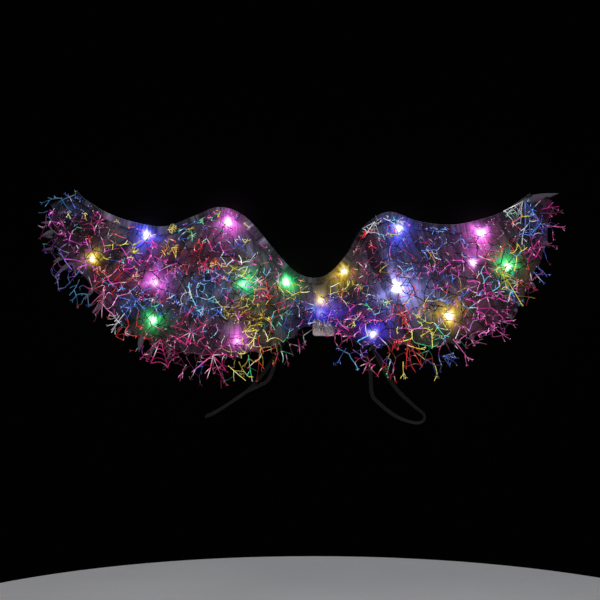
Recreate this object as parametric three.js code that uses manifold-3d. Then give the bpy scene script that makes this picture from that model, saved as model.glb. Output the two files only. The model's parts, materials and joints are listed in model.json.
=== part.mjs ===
// Light-up costume wings: one bent wire in the casing of a pleated organza panel, three tiers of
// gathered web tulle on the front of each wing, a ragged web fringe along the hem, two strings of
// lights with their battery case on the back, and two elastic shoulder loops.
// Millimetres, +Z up, +X to the viewer's right. The decorated front faces -Y, the wearer is at +Y.
// The origin lies in the panel between the two wings, below the neck scoop.
import * as THREE from "three";
import { mergeVertices } from "three/addons/utils/BufferGeometryUtils.js";
import Module from "manifold-3d";

const wasm = await Module();
wasm.setup();

// Driving sizes
const CLOTH = 1.0; // wall of the organza and the tulle
const GAP = 0.3; // clearance between pieces that touch
const BOW = 30; // how far the wing tips sweep away from the wearer
const BOW_REACH = 380; // distance from the middle at which the whole bow is reached
const CENTRE = 0.5; // place along the span where the wings meet

const PLEAT = 2.0; // height of the panel's pleats, each side of its middle
const PLEAT_STARTS = 0.06; // share of a rib above which the panel is flat
const PLEAT_FULL = 0.35; // share of a rib where the pleats reach their height
const FLAT_MIDDLE = 52; // half width of the flat middle, where the case and the loops are sewn on
const FLAT_FADE = 30; // distance over which the pleats grow beside it
const PANEL_STATIONS = 54; // pleat edges from tip to tip
const PANEL_ROWS = [PLEAT_FULL, 0.68, 1]; // mesh rows below the casing, as shares of a rib
const PANEL_FACE = PLEAT + CLOTH / 2; // furthest reach of the pleated panel, front and back

const WIRE_RADIUS = 1.25;
const WIRE_SIDES = 6;
const CASING_RADIUS = 2.75; // middle of the casing's wall, around the wire
const FLAP_SHARE = 0.09; // folded-over flap of the casing, as a share of its rib
const FLAP_LEAST = 5;
const FLAP_MOST = 13;
const FLAP_STANDS = 1.7; // how far the flap's stitched edge stands in front of the panel
const CASING_NECK = 1; // distance below the wire where the casing is at its deepest
const CASING_CREST = 0.85; // corners of the casing above the wire, in casing radii
const CASING_CORNER = 0.5;

const SEAM = PANEL_FACE + GAP + CLOTH / 2; // depth of the tulle's gathered seams
const SEAM_BELOW_FLAP = 3;
const FULL_RIB = 120; // ribs shorter than this carry flatter ruffles
const FOLD_STEPS = 4; // mesh steps in each fold of a ruffle
const RUFFLE_ROWS = 3;
const RUFFLE_FROM_TIP = 0.006; // share of the span left bare at each tip
const RUFFLE_FROM_MIDDLE = 0.0009; // share of the span between the ruffles of the two wings
const FOLD_UNEVEN = 0.3; // how much the folds differ in height
const TIER_LEAST = 0.1; // least drop of a tier, as a share of a rib

const TWIG_ROOT = 6; // length of a fringe strand inside the tulle
const TWIG_WIDTH = 2.6;
const TWIG_TIP = 1.7;
const TWIG_THICK = 1.6;
const TWIG_LEAN = 0.45; // widest lean of a strand, in radians
const TWIG_STRAY = 0.6; // how far a strand may stray from its even place, as a share of the spacing
const TWIG_SHORTEST = 0.72; // shortest and longest strand, as shares of the fringe's reach there
const TWIG_LONGEST = 1.12;
const LOWER_BRANCH = { at: 0.42, reach: 0.3, angle: 0.95 }; // shares of the strand, angle in radians
const UPPER_BRANCH = { at: 0.66, reach: 0.26, angle: 0.8 };
const FORK = { spread: 0.16, notch: 0.08 };

const LED_RADIUS = 2.2;
const LED_SIDES = 7;
const LED_RINGS = 4;
const LEAD_RADIUS = 0.6;
const LEAD_SIDES = 6;
const LEAD_STEP = 28; // length of a mesh step along the light leads
const LEAD_SLACK = 0.35; // how roundly the leads turn at each light
const LED_DEPTH = PANEL_FACE + GAP + LED_RADIUS;
const LEAD_DEPTH = LED_DEPTH + LED_RADIUS + GAP + LEAD_RADIUS;

const CASE = { left: -8, right: 26, bottom: -54, top: -23, front: CLOTH / 2 + GAP, thick: 11 };
const CASE_CORNER = 4;
const CASE_EDGE = 1.2;

const BAND_WIDTH = 6;
const BAND_THICK = 1;
const BAND_STEP = 12; // length of a mesh step along the shoulder loops

// Ribs of the wings from the left tip to the right one: the point on the wire, the point on the
// panel's hem, and how far the web fringe hangs past that hem.
const RIBS = [
  { edgeX: -360, edgeZ: 160, hemX: -392, hemZ: 144, fringe: 32 },
  { edgeX: -347, edgeZ: 147, hemX: -394, hemZ: 104, fringe: 30 },
  { edgeX: -318, edgeZ: 129, hemX: -381, hemZ: 60, fringe: 29 },
  { edgeX: -281, edgeZ: 115, hemX: -345, hemZ: 14, fringe: 31 },
  { edgeX: -230, edgeZ: 107, hemX: -291, hemZ: -30, fringe: 36 },
  { edgeX: -187, edgeZ: 122, hemX: -232, hemZ: -58, fringe: 48 },
  { edgeX: -147, edgeZ: 136, hemX: -166, hemZ: -76, fringe: 52 },
  { edgeX: -108, edgeZ: 120, hemX: -101, hemZ: -77, fringe: 52 },
  { edgeX: -62, edgeZ: 67, hemX: -52, hemZ: -63, fringe: 42 },
  { edgeX: -34, edgeZ: 39, hemX: -24, hemZ: -46, fringe: 28 },
  { edgeX: -3, edgeZ: 30, hemX: 1, hemZ: -32, fringe: 14 },
  { edgeX: 22, edgeZ: 41, hemX: 26, hemZ: -47, fringe: 28 },
  { edgeX: 47, edgeZ: 70, hemX: 54, hemZ: -65, fringe: 42 },
  { edgeX: 68, edgeZ: 106, hemX: 90, hemZ: -77, fringe: 46 },
  { edgeX: 105, edgeZ: 129, hemX: 136, hemZ: -77, fringe: 46 },
  { edgeX: 150, edgeZ: 115, hemX: 191, hemZ: -62, fringe: 44 },
  { edgeX: 205, edgeZ: 110, hemX: 246, hemZ: -31, fringe: 38 },
  { edgeX: 265, edgeZ: 124, hemX: 291, hemZ: 7, fringe: 32 },
  { edgeX: 292, edgeZ: 139, hemX: 322, hemZ: 61, fringe: 28 },
  { edgeX: 309, edgeZ: 151, hemX: 340, hemZ: 113, fringe: 27 },
  { edgeX: 316, edgeZ: 156, hemX: 348, hemZ: 152, fringe: 24 },
];

// Tiers of gathered tulle: where each is sewn on and where it ends as shares of a rib, how far it
// stands off the panel, and the height of its folds.
const TIERS = [
  { name: "top", seam: 0.12, hem: 0.47, lift: 20, fold: 4.0 },
  { name: "mid", seam: 0.36, hem: 0.78, lift: 14, fold: 3.6 },
  { name: "low", seam: 0.64, hem: 1.0, lift: 7.5, fold: 3.2 },
];

// The two wings: their share of the span, folds in each tier and strands in the fringe.
const WINGS = [
  { name: "left", from: RUFFLE_FROM_TIP, to: CENTRE - RUFFLE_FROM_MIDDLE, folds: 10, twigs: 18 },
  { name: "right", from: CENTRE + RUFFLE_FROM_MIDDLE, to: 1 - RUFFLE_FROM_TIP, folds: 9, twigs: 17 },
];

// Lights in the order of their strings, from the battery case outwards.
const LIGHTS = {
  left: [
    { x: -48, z: 27, colour: "green" },
    { x: -112, z: 24, colour: "green" },
    { x: -135, z: 116, colour: "pink" },
    { x: -255, z: 97, colour: "blue" },
    { x: -335, z: 61, colour: "yellow" },
    { x: -243, z: 26, colour: "pink" },
    { x: -247, z: -30, colour: "green" },
    { x: -121, z: -62, colour: "pink" },
  ],
  right: [
    { x: 3, z: -19, colour: "blue" },
    { x: 4, z: -1, colour: "yellow" },
    { x: 39, z: 43, colour: "yellow" },
    { x: 121, z: 107, colour: "blue" },
    { x: 117, z: 18, colour: "white" },
    { x: 82, z: -51, colour: "blue" },
    { x: 196, z: -24, colour: "yellow" },
    { x: 282, z: 50, colour: "green" },
    { x: 231, z: 56, colour: "white" },
    { x: 243, z: 100, colour: "pink" },
  ],
};
const LEAD_STARTS = { left: -4, right: 3 }; // where each lead leaves the case's top, along X

// Routes of the shoulder loops: from the upper seam on the panel's back, down behind the wing, round
// the free end of the loop and back up to the lower seam. turn is the band's twist in degrees.
const BAND_SEAT = CLOTH / 2 + GAP + BAND_THICK / 2;
const LOOPS = {
  left: [
    { x: -12, y: BAND_SEAT, z: 17, turn: 0 },
    { x: -18, y: BAND_SEAT, z: 9, turn: 0 },
    { x: -30, y: 2.5, z: -7, turn: 0 },
    { x: -41, y: 8.5, z: -24, turn: 0 },
    { x: -53, y: 12.5, z: -52, turn: 5 },
    { x: -63, y: 14, z: -88, turn: 15 },
    { x: -74, y: 15, z: -119, turn: 25 },
    { x: -92, y: 16, z: -131, turn: 35 },
    { x: -112, y: 17, z: -141, turn: 45 },
    { x: -138, y: 19, z: -159, turn: 50 },
    { x: -160, y: 23, z: -172, turn: 45 },
    { x: -170, y: 32, z: -177, turn: 40 },
    { x: -160, y: 41, z: -174, turn: 40 },
    { x: -137, y: 44, z: -160, turn: 50 },
    { x: -110, y: 41, z: -141, turn: 45 },
    { x: -84, y: 34, z: -113, turn: 30 },
    { x: -62, y: 26, z: -80, turn: 15 },
    { x: -43, y: 13, z: -50, turn: 5 },
    { x: -31, y: 2.5, z: -32, turn: 0 },
    { x: -27, y: BAND_SEAT, z: -25, turn: 0 },
    { x: -23, y: BAND_SEAT, z: -17, turn: 0 },
  ],
  right: [
    { x: 13, y: BAND_SEAT, z: 19, turn: 0 },
    { x: 19, y: BAND_SEAT, z: 12, turn: 0 },
    { x: 33, y: 4, z: -4, turn: 0 },
    { x: 56, y: 12, z: -31, turn: 5 },
    { x: 80, y: 14, z: -67, turn: 10 },
    { x: 101, y: 16, z: -108, turn: 15 },
    { x: 121, y: 20, z: -137, turn: 20 },
    { x: 145, y: 24, z: -160, turn: 35 },
    { x: 161, y: 28, z: -174, turn: 50 },
    { x: 160, y: 30, z: -184, turn: 55 },
    { x: 147, y: 32, z: -187, turn: 50 },
    { x: 119, y: 33, z: -177, turn: 35 },
    { x: 91, y: 31, z: -155, turn: 25 },
    { x: 82, y: 28, z: -141, turn: 15 },
    { x: 79, y: 22, z: -105, turn: 5 },
    { x: 69, y: 15, z: -73, turn: 0 },
    { x: 52, y: 9, z: -48, turn: 0 },
    { x: 41, y: 2.5, z: -33, turn: 0 },
    { x: 36, y: BAND_SEAT, z: -26, turn: 0 },
    { x: 31, y: BAND_SEAT, z: -18, turn: 0 },
  ],
};

// Finishes
const finish = (colour, roughness, metalness = 0) =>
  new THREE.MeshStandardMaterial({ color: colour, roughness, metalness });
const ORGANZA = finish(0x24232a, 0.6);
const TULLE = finish(0x2c2733, 0.5);
const COATED_WIRE = finish(0x17171a, 0.45, 0.4);
const LEAD_WIRE = finish(0x202024, 0.4, 0.5);
const ELASTIC = finish(0x1b191c, 0.85);
const CASE_PLASTIC = finish(0xe4dcdd, 0.5);
const LED_LENS = {
  blue: finish(0x5a6cff, 0.2),
  green: finish(0x2ee57a, 0.2),
  pink: finish(0xf06af2, 0.2),
  yellow: finish(0xffd23c, 0.2),
  white: finish(0xf2ecff, 0.2),
};

const wings = new THREE.Group();

function place(name, geometry, material) {
  const mesh = new THREE.Mesh(geometry, material);
  mesh.name = name;
  wings.add(mesh);
}

// A repeatable number from 0 to 1 for the n-th item of a kind.
function jitter(n, kind) {
  const wave = Math.sin(n * 12.9898 + kind * 78.233) * 43758.5453;
  return wave - Math.floor(wave);
}

// The sweep of the wings: everything at this distance from the middle moves this far along Y.
const bow = (x) => -BOW * (x / BOW_REACH) ** 2;

// Smooth curves through the ribs
const ribCurve = (xKey, zKey) =>
  new THREE.CatmullRomCurve3(
    RIBS.map((rib) => new THREE.Vector3(rib[xKey], 0, rib[zKey])),
    false,
    "catmullrom",
    0.5,
  );
const edgeCurve = ribCurve("edgeX", "edgeZ");
const hemCurve = ribCurve("hemX", "hemZ");

// The rib at a share of the span: where it starts on the wire, its direction and length, the
// direction square to the wire, the fringe below it, its casing flap and its flatness.
function ribAt(span) {
  const edge = edgeCurve.getPoint(span);
  const hem = hemCurve.getPoint(span);
  const down = hem.clone().sub(edge);
  const length = down.length();
  down.normalize();
  const tangent = edgeCurve.getTangent(span);
  const square = new THREE.Vector3(tangent.z, 0, -tangent.x);
  const row = Math.min(Math.floor(span * (RIBS.length - 1)), RIBS.length - 2);
  const share = span * (RIBS.length - 1) - row;
  const fringe = THREE.MathUtils.lerp(RIBS[row].fringe, RIBS[row + 1].fringe, share);
  const flap = THREE.MathUtils.clamp(FLAP_SHARE * length, FLAP_LEAST, FLAP_MOST);
  return { edge, down, length, square, fringe, flap, flatness: Math.min(1, length / FULL_RIB) };
}

// Shares of the span between two others, spaced evenly along a line at a share of the ribs.
function evenSpans(from, to, count, share = 0.5) {
  const fine = 400;
  const spans = Array.from({ length: fine + 1 }, (_, i) => from + ((to - from) * i) / fine);
  const line = spans.map((s) => edgeCurve.getPoint(s).lerp(hemCurve.getPoint(s), share));
  const along = [0];
  for (let i = 1; i <= fine; i++) along.push(along[i - 1] + line[i].distanceTo(line[i - 1]));
  return Array.from({ length: count + 1 }, (_, n) => {
    const want = (along[fine] * n) / count;
    const i = Math.max(1, along.findIndex((a) => a >= want - 1e-9));
    const part = (want - along[i - 1]) / (along[i] - along[i - 1]);
    return THREE.MathUtils.lerp(spans[i - 1], spans[i], part);
  });
}

// A closed geometry from rings of equal length, joined in order and capped by its own quads: the
// first half of a ring runs along one side of the section and the second half back along the other.
function loft(rings) {
  const count = rings[0].length;
  const half = count / 2;
  const positions = rings.flat().flatMap((p) => [p.x, p.y, p.z]);
  const index = [];
  const quad = (a, b, c, d) => index.push(a, b, c, a, c, d);
  for (let i = 0; i + 1 < rings.length; i++)
    for (let k = 0; k < count; k++) {
      const next = (k + 1) % count;
      quad(i * count + k, i * count + next, (i + 1) * count + next, (i + 1) * count + k);
    }
  const last = (rings.length - 1) * count;
  for (let k = 0; k + 1 < half; k++) {
    quad(k, count - 1 - k, count - 2 - k, k + 1);
    quad(last + k, last + k + 1, last + count - 2 - k, last + count - 1 - k);
  }
  const geometry = new THREE.BufferGeometry();
  geometry.setAttribute("position", new THREE.Float32BufferAttribute(positions, 3));
  geometry.setIndex(index);
  return facingOut(geometry);
}

// The same geometry, turned over if it encloses a negative volume.
function facingOut(geometry) {
  const index = geometry.index.array;
  const corner = (n) => new THREE.Vector3().fromBufferAttribute(geometry.attributes.position, index[n]);
  let volume = 0;
  for (let i = 0; i < index.length; i += 3)
    volume += corner(i).dot(corner(i + 1).cross(corner(i + 2)));
  if (volume < 0)
    for (let i = 0; i < index.length; i += 3) [index[i + 1], index[i + 2]] = [index[i + 2], index[i + 1]];
  return geometry;
}

// A wall of cloth around a grid of points on its middle surface.
function clothWall(grid) {
  const rows = grid.length;
  const columns = grid[0].length;
  const rings = grid.map((line, i) => {
    const normals = line.map((_, k) => {
      const across = grid[Math.min(i + 1, rows - 1)][k].clone().sub(grid[Math.max(i - 1, 0)][k]);
      const along = line[Math.min(k + 1, columns - 1)].clone().sub(line[Math.max(k - 1, 0)]);
      return across.cross(along).normalize().multiplyScalar(CLOTH / 2);
    });
    const front = line.map((p, k) => p.clone().add(normals[k]));
    const back = line.map((p, k) => p.clone().sub(normals[k]));
    return [...front, ...back.reverse()];
  });
  return loft(rings);
}

// A bar of a constant section along a row of points. sideAt gives the section's first direction.
function bar(points, section, sideAt) {
  const rings = points.map((p, i) => {
    const before = points[Math.max(i - 1, 0)];
    const after = points[Math.min(i + 1, points.length - 1)];
    const tangent = after.clone().sub(before).normalize();
    const side = sideAt(i, tangent);
    const up = tangent.clone().cross(side).normalize();
    return section.map(([a, b]) => p.clone().addScaledVector(side, a).addScaledVector(up, b));
  });
  return loft(rings);
}

// A regular section whose corners run once round, for the round wires.
const roundSection = (radius, sides) =>
  Array.from({ length: sides }, (_, k) => {
    const angle = (2 * Math.PI * (k + 0.5)) / sides;
    return [radius * Math.cos(angle), radius * Math.sin(angle)];
  });

// The direction square to a tangent that lies nearest to the wings' depth.
const depthSide = (tangent) => {
  const depth = new THREE.Vector3(0, 1, 0);
  return depth.addScaledVector(tangent, -depth.dot(tangent)).normalize();
};

// A point a distance from the wire, down a rib or along another direction, standing in front of the
// wings' middle surface.
function onRib(rib, distance, front, direction = rib.down) {
  const point = rib.edge.clone().addScaledVector(direction, distance);
  point.y = bow(point.x) - front;
  return point;
}

// The organza panel: its section runs from the casing flap's stitched edge, over the wire and down
// the back of the casing, then to the hem in pleats that grow below the casing.
function organzaPanel(spans) {
  const grid = spans.map((span, i) => {
    const rib = ribAt(span);
    const side = i % 2 ? 1 : -1;
    const pleated = (share) => {
      const fromMiddle = Math.abs(rib.edge.x + rib.down.x * share * rib.length);
      const sideways = THREE.MathUtils.smoothstep(fromMiddle, FLAT_MIDDLE, FLAT_MIDDLE + FLAT_FADE);
      const downwards = THREE.MathUtils.smoothstep(share, PLEAT_STARTS, PLEAT_FULL);
      return side * PLEAT * rib.flatness * sideways * downwards;
    };
    const casing = [
      [rib.flap, FLAP_STANDS],
      [CASING_NECK, CASING_RADIUS],
      [-CASING_RADIUS * CASING_CREST, CASING_RADIUS * CASING_CORNER],
      [-CASING_RADIUS * CASING_CREST, -CASING_RADIUS * CASING_CORNER],
      [CASING_NECK, -CASING_RADIUS],
      [rib.flap, 0],
    ];
    const body = PANEL_ROWS.map((share) => [share * rib.length, pleated(share)]);
    return [
      ...casing.map(([distance, front]) => onRib(rib, distance, front, rib.square)),
      ...body.map(([distance, front]) => onRib(rib, distance, front)),
    ];
  });
  return clothWall(grid);
}

function frameWire(spans) {
  const points = spans.slice(1, -1).map((span) => onRib(ribAt(span), 0, 0));
  return bar(points, roundSection(WIRE_RADIUS, WIRE_SIDES), (_, tangent) => depthSide(tangent));
}

// A point of a tier of tulle: fold counts the folds from the wing's start, drop runs from the seam
// at 0 to the hem at 1. The folds open and stand off the panel as the tulle drops.
function tullePoint(tier, span, fold, drop) {
  const rib = ribAt(span);
  const clearOfFlap = (rib.flap + SEAM_BELOW_FLAP) / rib.down.dot(rib.square);
  const seam = Math.max(tier.seam, clearOfFlap / rib.length);
  const share = THREE.MathUtils.lerp(seam, Math.max(tier.hem, seam + TIER_LEAST), drop);
  const stands = tier.lift * (1 - (1 - drop) ** 2);
  const height = tier.fold * (1 - FOLD_UNEVEN * jitter(Math.floor(fold), tier.lift));
  const wave = height * drop * Math.sin(2 * Math.PI * fold);
  return onRib(rib, share * rib.length, SEAM + (stands + wave) * rib.flatness);
}

function tulleTier(tier, wing) {
  const steps = wing.folds * FOLD_STEPS;
  const grid = evenSpans(wing.from, wing.to, steps).map((span, i) =>
    Array.from({ length: RUFFLE_ROWS + 1 }, (_, k) =>
      tullePoint(tier, span, i / FOLD_STEPS, k / RUFFLE_ROWS),
    ),
  );
  return clothWall(grid);
}

// The fold that a share of the span falls in, counted from the wing's start.
function foldAt(wing, span) {
  const spans = evenSpans(wing.from, wing.to, wing.folds);
  const row = THREE.MathUtils.clamp(spans.findIndex((s) => s > span) - 1, 0, wing.folds - 1);
  return row + (span - spans[row]) / (spans[row + 1] - spans[row]);
}

// The four corners of a strand's branch, on the stem's left side.
function branchCorners({ at, reach, angle }, length) {
  const tipAlong = length * (at + reach * Math.cos(angle));
  const tipAcross = length * reach * Math.sin(angle);
  return [
    [length * at - TWIG_WIDTH / 2, TWIG_WIDTH / 2],
    [tipAlong - TWIG_TIP / 2, tipAcross + TWIG_TIP / 4],
    [tipAlong + TWIG_TIP / 2, tipAcross - TWIG_TIP / 4],
    [length * at + TWIG_WIDTH / 2, TWIG_WIDTH / 2],
  ];
}

// The outline of one strand of the fringe along its own length: a stem with a branch on each side
// and a forked end.
function twigOutline(length, flip) {
  const spread = FORK.spread * length;
  const fork = [
    [length, spread],
    [length + TWIG_TIP, spread - TWIG_TIP],
    [length * (1 - FORK.notch), 0],
    [length + TWIG_TIP, TWIG_TIP - spread],
    [length, -spread],
  ];
  const outline = [
    [-TWIG_ROOT, TWIG_WIDTH / 2],
    ...branchCorners(LOWER_BRANCH, length),
    ...fork,
    ...branchCorners(UPPER_BRANCH, length).map(([along, across]) => [along, -across]).reverse(),
    [-TWIG_ROOT, -TWIG_WIDTH / 2],
  ];
  return new THREE.Shape(outline.map(([along, across]) => new THREE.Vector2(along, flip * across)));
}

// One strand of the fringe, rooted in the hem of the lowest tier.
function twig(tier, wing, span, n) {
  const fold = foldAt(wing, span);
  const hem = tullePoint(tier, span, fold, 1);
  const above = tullePoint(tier, span, fold, 0.8);
  const length = ribAt(span).fringe * THREE.MathUtils.lerp(TWIG_SHORTEST, TWIG_LONGEST, jitter(n, 2));
  const along = hem.clone().sub(above).normalize();
  const lean = TWIG_LEAN * (2 * jitter(n, 3) - 1);
  along.applyAxisAngle(new THREE.Vector3(0, 1, 0), lean);
  const normal = depthSide(along);
  const across = normal.clone().cross(along);
  const geometry = new THREE.ExtrudeGeometry(twigOutline(length, n % 2 ? 1 : -1), {
    depth: TWIG_THICK,
    bevelEnabled: false,
  });
  geometry.translate(0, 0, -TWIG_THICK / 2);
  geometry.applyMatrix4(new THREE.Matrix4().makeBasis(along, across, normal).setPosition(hem));
  return geometry;
}

// A geometry as a solid that can be joined, and back.
function solidOf(geometry) {
  const bare = geometry.clone();
  for (const name of Object.keys(bare.attributes)) if (name !== "position") bare.deleteAttribute(name);
  const merged = facingOut(mergeVertices(bare, 1e-4));
  return new wasm.Manifold(
    new wasm.Mesh({
      numProp: 3,
      vertProperties: merged.attributes.position.array,
      triVerts: new Uint32Array(merged.index.array),
    }),
  );
}

function geometryOf(solid) {
  const mesh = solid.getMesh();
  const geometry = new THREE.BufferGeometry();
  geometry.setAttribute("position", new THREE.BufferAttribute(mesh.vertProperties, 3));
  geometry.setIndex(new THREE.BufferAttribute(mesh.triVerts, 1));
  return geometry;
}

function fringedTier(tier, wing) {
  const spans = evenSpans(wing.from, wing.to, wing.twigs, tier.hem);
  let solid = solidOf(tulleTier(tier, wing));
  for (let n = 0; n < wing.twigs; n++) {
    const span = THREE.MathUtils.lerp(spans[n], spans[n + 1], TWIG_STRAY * (jitter(n, 1) - 0.5) + 0.5);
    solid = solid.add(solidOf(twig(tier, wing, span, n)));
  }
  return geometryOf(solid);
}

// One light: a round drop of clear resin behind the panel.
function lightDrop(light) {
  const profile = Array.from({ length: LED_RINGS + 1 }, (_, k) => {
    const angle = (Math.PI * k) / LED_RINGS;
    return new THREE.Vector2(LED_RADIUS * Math.sin(angle), -LED_RADIUS * Math.cos(angle));
  });
  return new THREE.LatheGeometry(profile, LED_SIDES).translate(light.x, LED_DEPTH + bow(light.x), light.z);
}

// The lead of one string: out of the case's top and past every light on it.
function lightLead(lights, start) {
  const stops = [{ x: start, z: CASE.top + GAP }, ...lights];
  const curve = new THREE.CatmullRomCurve3(
    stops.map(({ x, z }) => new THREE.Vector3(x, LEAD_DEPTH + bow(x), z)),
    false,
    "catmullrom",
    LEAD_SLACK,
  );
  const points = [curve.getPoint(0)];
  for (let n = 1; n < stops.length; n++) {
    const reach = Math.hypot(stops[n].x - stops[n - 1].x, stops[n].z - stops[n - 1].z);
    const steps = Math.ceil(reach / LEAD_STEP);
    for (let i = 1; i <= steps; i++) points.push(curve.getPoint((n - 1 + i / steps) / (stops.length - 1)));
  }
  points.forEach((p) => (p.y = LEAD_DEPTH + bow(p.x)));
  return bar(points, roundSection(LEAD_RADIUS, LEAD_SIDES), (_, tangent) => depthSide(tangent));
}

function batteryCase() {
  const width = CASE.right - CASE.left - 2 * CASE_EDGE;
  const height = CASE.top - CASE.bottom - 2 * CASE_EDGE;
  const corner = CASE_CORNER - CASE_EDGE;
  const shape = new THREE.Shape();
  shape.moveTo(corner, 0);
  shape.lineTo(width - corner, 0);
  shape.absarc(width - corner, corner, corner, -Math.PI / 2, 0);
  shape.lineTo(width, height - corner);
  shape.absarc(width - corner, height - corner, corner, 0, Math.PI / 2);
  shape.lineTo(corner, height);
  shape.absarc(corner, height - corner, corner, Math.PI / 2, Math.PI);
  shape.lineTo(0, corner);
  shape.absarc(corner, corner, corner, Math.PI, 1.5 * Math.PI);
  const geometry = new THREE.ExtrudeGeometry(shape, {
    depth: CASE.thick - 2 * CASE_EDGE,
    bevelThickness: CASE_EDGE,
    bevelSize: CASE_EDGE,
    bevelSegments: 1,
    curveSegments: 3,
  });
  geometry.translate(CASE.left + CASE_EDGE, CASE.bottom + CASE_EDGE, CASE_EDGE);
  geometry.rotateX(Math.PI / 2).scale(1, -1, 1);
  return facingOut(mergeVertices(geometry.deleteAttribute("normal").deleteAttribute("uv"))).translate(
    0,
    CASE.front,
    0,
  );
}

// A shoulder loop: a flat band on a smooth route, twisted about its own line.
function shoulderLoop(route) {
  const curve = new THREE.CatmullRomCurve3(route.map(({ x, y, z }) => new THREE.Vector3(x, y, z)));
  const steps = Math.ceil(curve.getLength() / BAND_STEP);
  const shares = Array.from({ length: steps + 1 }, (_, i) => curve.getUtoTmapping(i / steps));
  const points = shares.map((share) => curve.getPoint(share));
  const turns = shares.map((share) => {
    const place = share * (route.length - 1);
    const row = Math.min(Math.floor(place), route.length - 2);
    return THREE.MathUtils.lerp(route[row].turn, route[row + 1].turn, place - row);
  });
  const half = [BAND_WIDTH / 2, BAND_THICK / 2];
  const section = [
    [-half[1], -half[0]],
    [-half[1], half[0]],
    [half[1], half[0]],
    [half[1], -half[0]],
  ];
  const sideAt = (i, tangent) =>
    depthSide(tangent).applyAxisAngle(tangent, THREE.MathUtils.degToRad(turns[i]));
  return bar(points, section, sideAt);
}

// Assembly
const panelSpans = evenSpans(0, 1, PANEL_STATIONS);
place("organza_panel", organzaPanel(panelSpans), ORGANZA);
place("frame_wire", frameWire(panelSpans), COATED_WIRE);

for (const wing of WINGS)
  for (const tier of TIERS) {
    const geometry = tier.name === "low" ? fringedTier(tier, wing) : tulleTier(tier, wing);
    place(`ruffle_${tier.name}_${wing.name}`, geometry, TULLE);
  }

let lightCount = 0;
for (const [side, lights] of Object.entries(LIGHTS)) {
  place(`light_lead_${side}`, lightLead(lights, LEAD_STARTS[side]), LEAD_WIRE);
  for (const light of lights) {
    lightCount += 1;
    const name = `led_${String(lightCount).padStart(2, "0")}_${light.colour}`;
    place(name, lightDrop(light), LED_LENS[light.colour]);
  }
}

place("battery_case", batteryCase(), CASE_PLASTIC);
for (const [side, route] of Object.entries(LOOPS))
  place(`shoulder_loop_${side}`, shoulderLoop(route), ELASTIC);

export default wings;
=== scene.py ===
"""Light-up costume wings: black organza under three gathered tiers of web tulle on each wing, a ragged
fringe of foil strands, coloured lights behind the cloth, a battery case and two elastic shoulder loops.

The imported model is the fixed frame. Lengths are metres, the wings spread along X, their front faces -Y
and the wearer stands at +Y.
"""

import json
from typing import NamedTuple

import bpy
import numpy as np
from bpy.props import FloatProperty, FloatVectorProperty, IntProperty, PointerProperty
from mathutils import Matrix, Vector

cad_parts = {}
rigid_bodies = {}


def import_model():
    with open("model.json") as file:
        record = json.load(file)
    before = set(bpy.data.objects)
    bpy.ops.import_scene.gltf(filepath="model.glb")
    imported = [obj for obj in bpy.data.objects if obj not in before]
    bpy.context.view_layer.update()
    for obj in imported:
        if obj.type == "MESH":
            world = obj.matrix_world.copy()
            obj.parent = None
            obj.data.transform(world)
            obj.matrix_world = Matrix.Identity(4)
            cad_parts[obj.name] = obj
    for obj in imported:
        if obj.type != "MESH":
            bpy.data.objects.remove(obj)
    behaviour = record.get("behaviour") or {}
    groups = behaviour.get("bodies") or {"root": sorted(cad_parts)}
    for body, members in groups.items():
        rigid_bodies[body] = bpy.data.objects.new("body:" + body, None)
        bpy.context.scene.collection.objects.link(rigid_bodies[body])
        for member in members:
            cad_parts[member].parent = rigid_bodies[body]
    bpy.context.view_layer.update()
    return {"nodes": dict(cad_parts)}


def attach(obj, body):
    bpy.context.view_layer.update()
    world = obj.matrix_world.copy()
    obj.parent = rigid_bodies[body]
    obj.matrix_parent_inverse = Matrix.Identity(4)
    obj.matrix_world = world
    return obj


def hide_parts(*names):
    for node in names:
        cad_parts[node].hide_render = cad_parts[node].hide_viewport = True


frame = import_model()

bl_info = {
    "name": "Light-up costume wings",
    "version": (1, 0, 0),
    "blender": (4, 5, 0),
    "location": "View3D > Sidebar > Wings",
    "description": "Builds costume wings of organza and foil-printed web tulle with a string of lights",
    "category": "Add Mesh",
}

MM = 0.001
TURN = 2 * np.pi
FORWARD = (0.0, -1.0, 0.0)
BACKWARD = (0.0, 1.0, 0.0)

# The wings' ribs from the left tip to the right one: x and z on the wire, x and z at the hem, how far the
# fringe hangs past the hem, and how far the cloth does.
RIBS = MM * np.array(
    [
        (-360, 160, -392, 144, 32, 6), (-347, 147, -394, 104, 30, 4), (-318, 129, -381, 60, 29, 0),
        (-281, 115, -345, 14, 31, -12), (-230, 107, -291, -30, 36, 12), (-187, 122, -232, -58, 48, 17),
        (-147, 136, -166, -76, 52, 12), (-108, 120, -101, -77, 52, 6), (-62, 67, -52, -63, 42, 4),
        (-34, 39, -24, -46, 28, 2), (-3, 30, 1, -32, 14, 4), (22, 41, 26, -47, 28, 2),
        (47, 70, 54, -65, 42, 0), (68, 106, 90, -77, 46, -3), (105, 129, 136, -77, 46, -4),
        (150, 115, 191, -62, 44, 6), (205, 110, 246, -31, 38, 20), (265, 124, 291, 7, 32, 25),
        (292, 139, 322, 61, 28, 15), (309, 151, 340, 113, 27, 5), (316, 156, 348, 152, 24, 2),
    ]
)
EDGE = slice(0, 2)
HEM = slice(2, 4)
FRINGE = 4
PAST = 5

# The wings' sweep towards the front, and the rib length past which folds reach their full height.
BOW = 30 * MM
BOW_REACH = 380 * MM
FULL_RIB = 120 * MM

# The casing folded round the wire: its radius, and the flap that is sewn down on the front.
CASING_RADIUS = 2.75 * MM
FLAP_SHARE = 0.075
FLAP_LEAST = 5 * MM
FLAP_MOST = 10 * MM
FLAP_STANDS = 1.7 * MM

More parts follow.
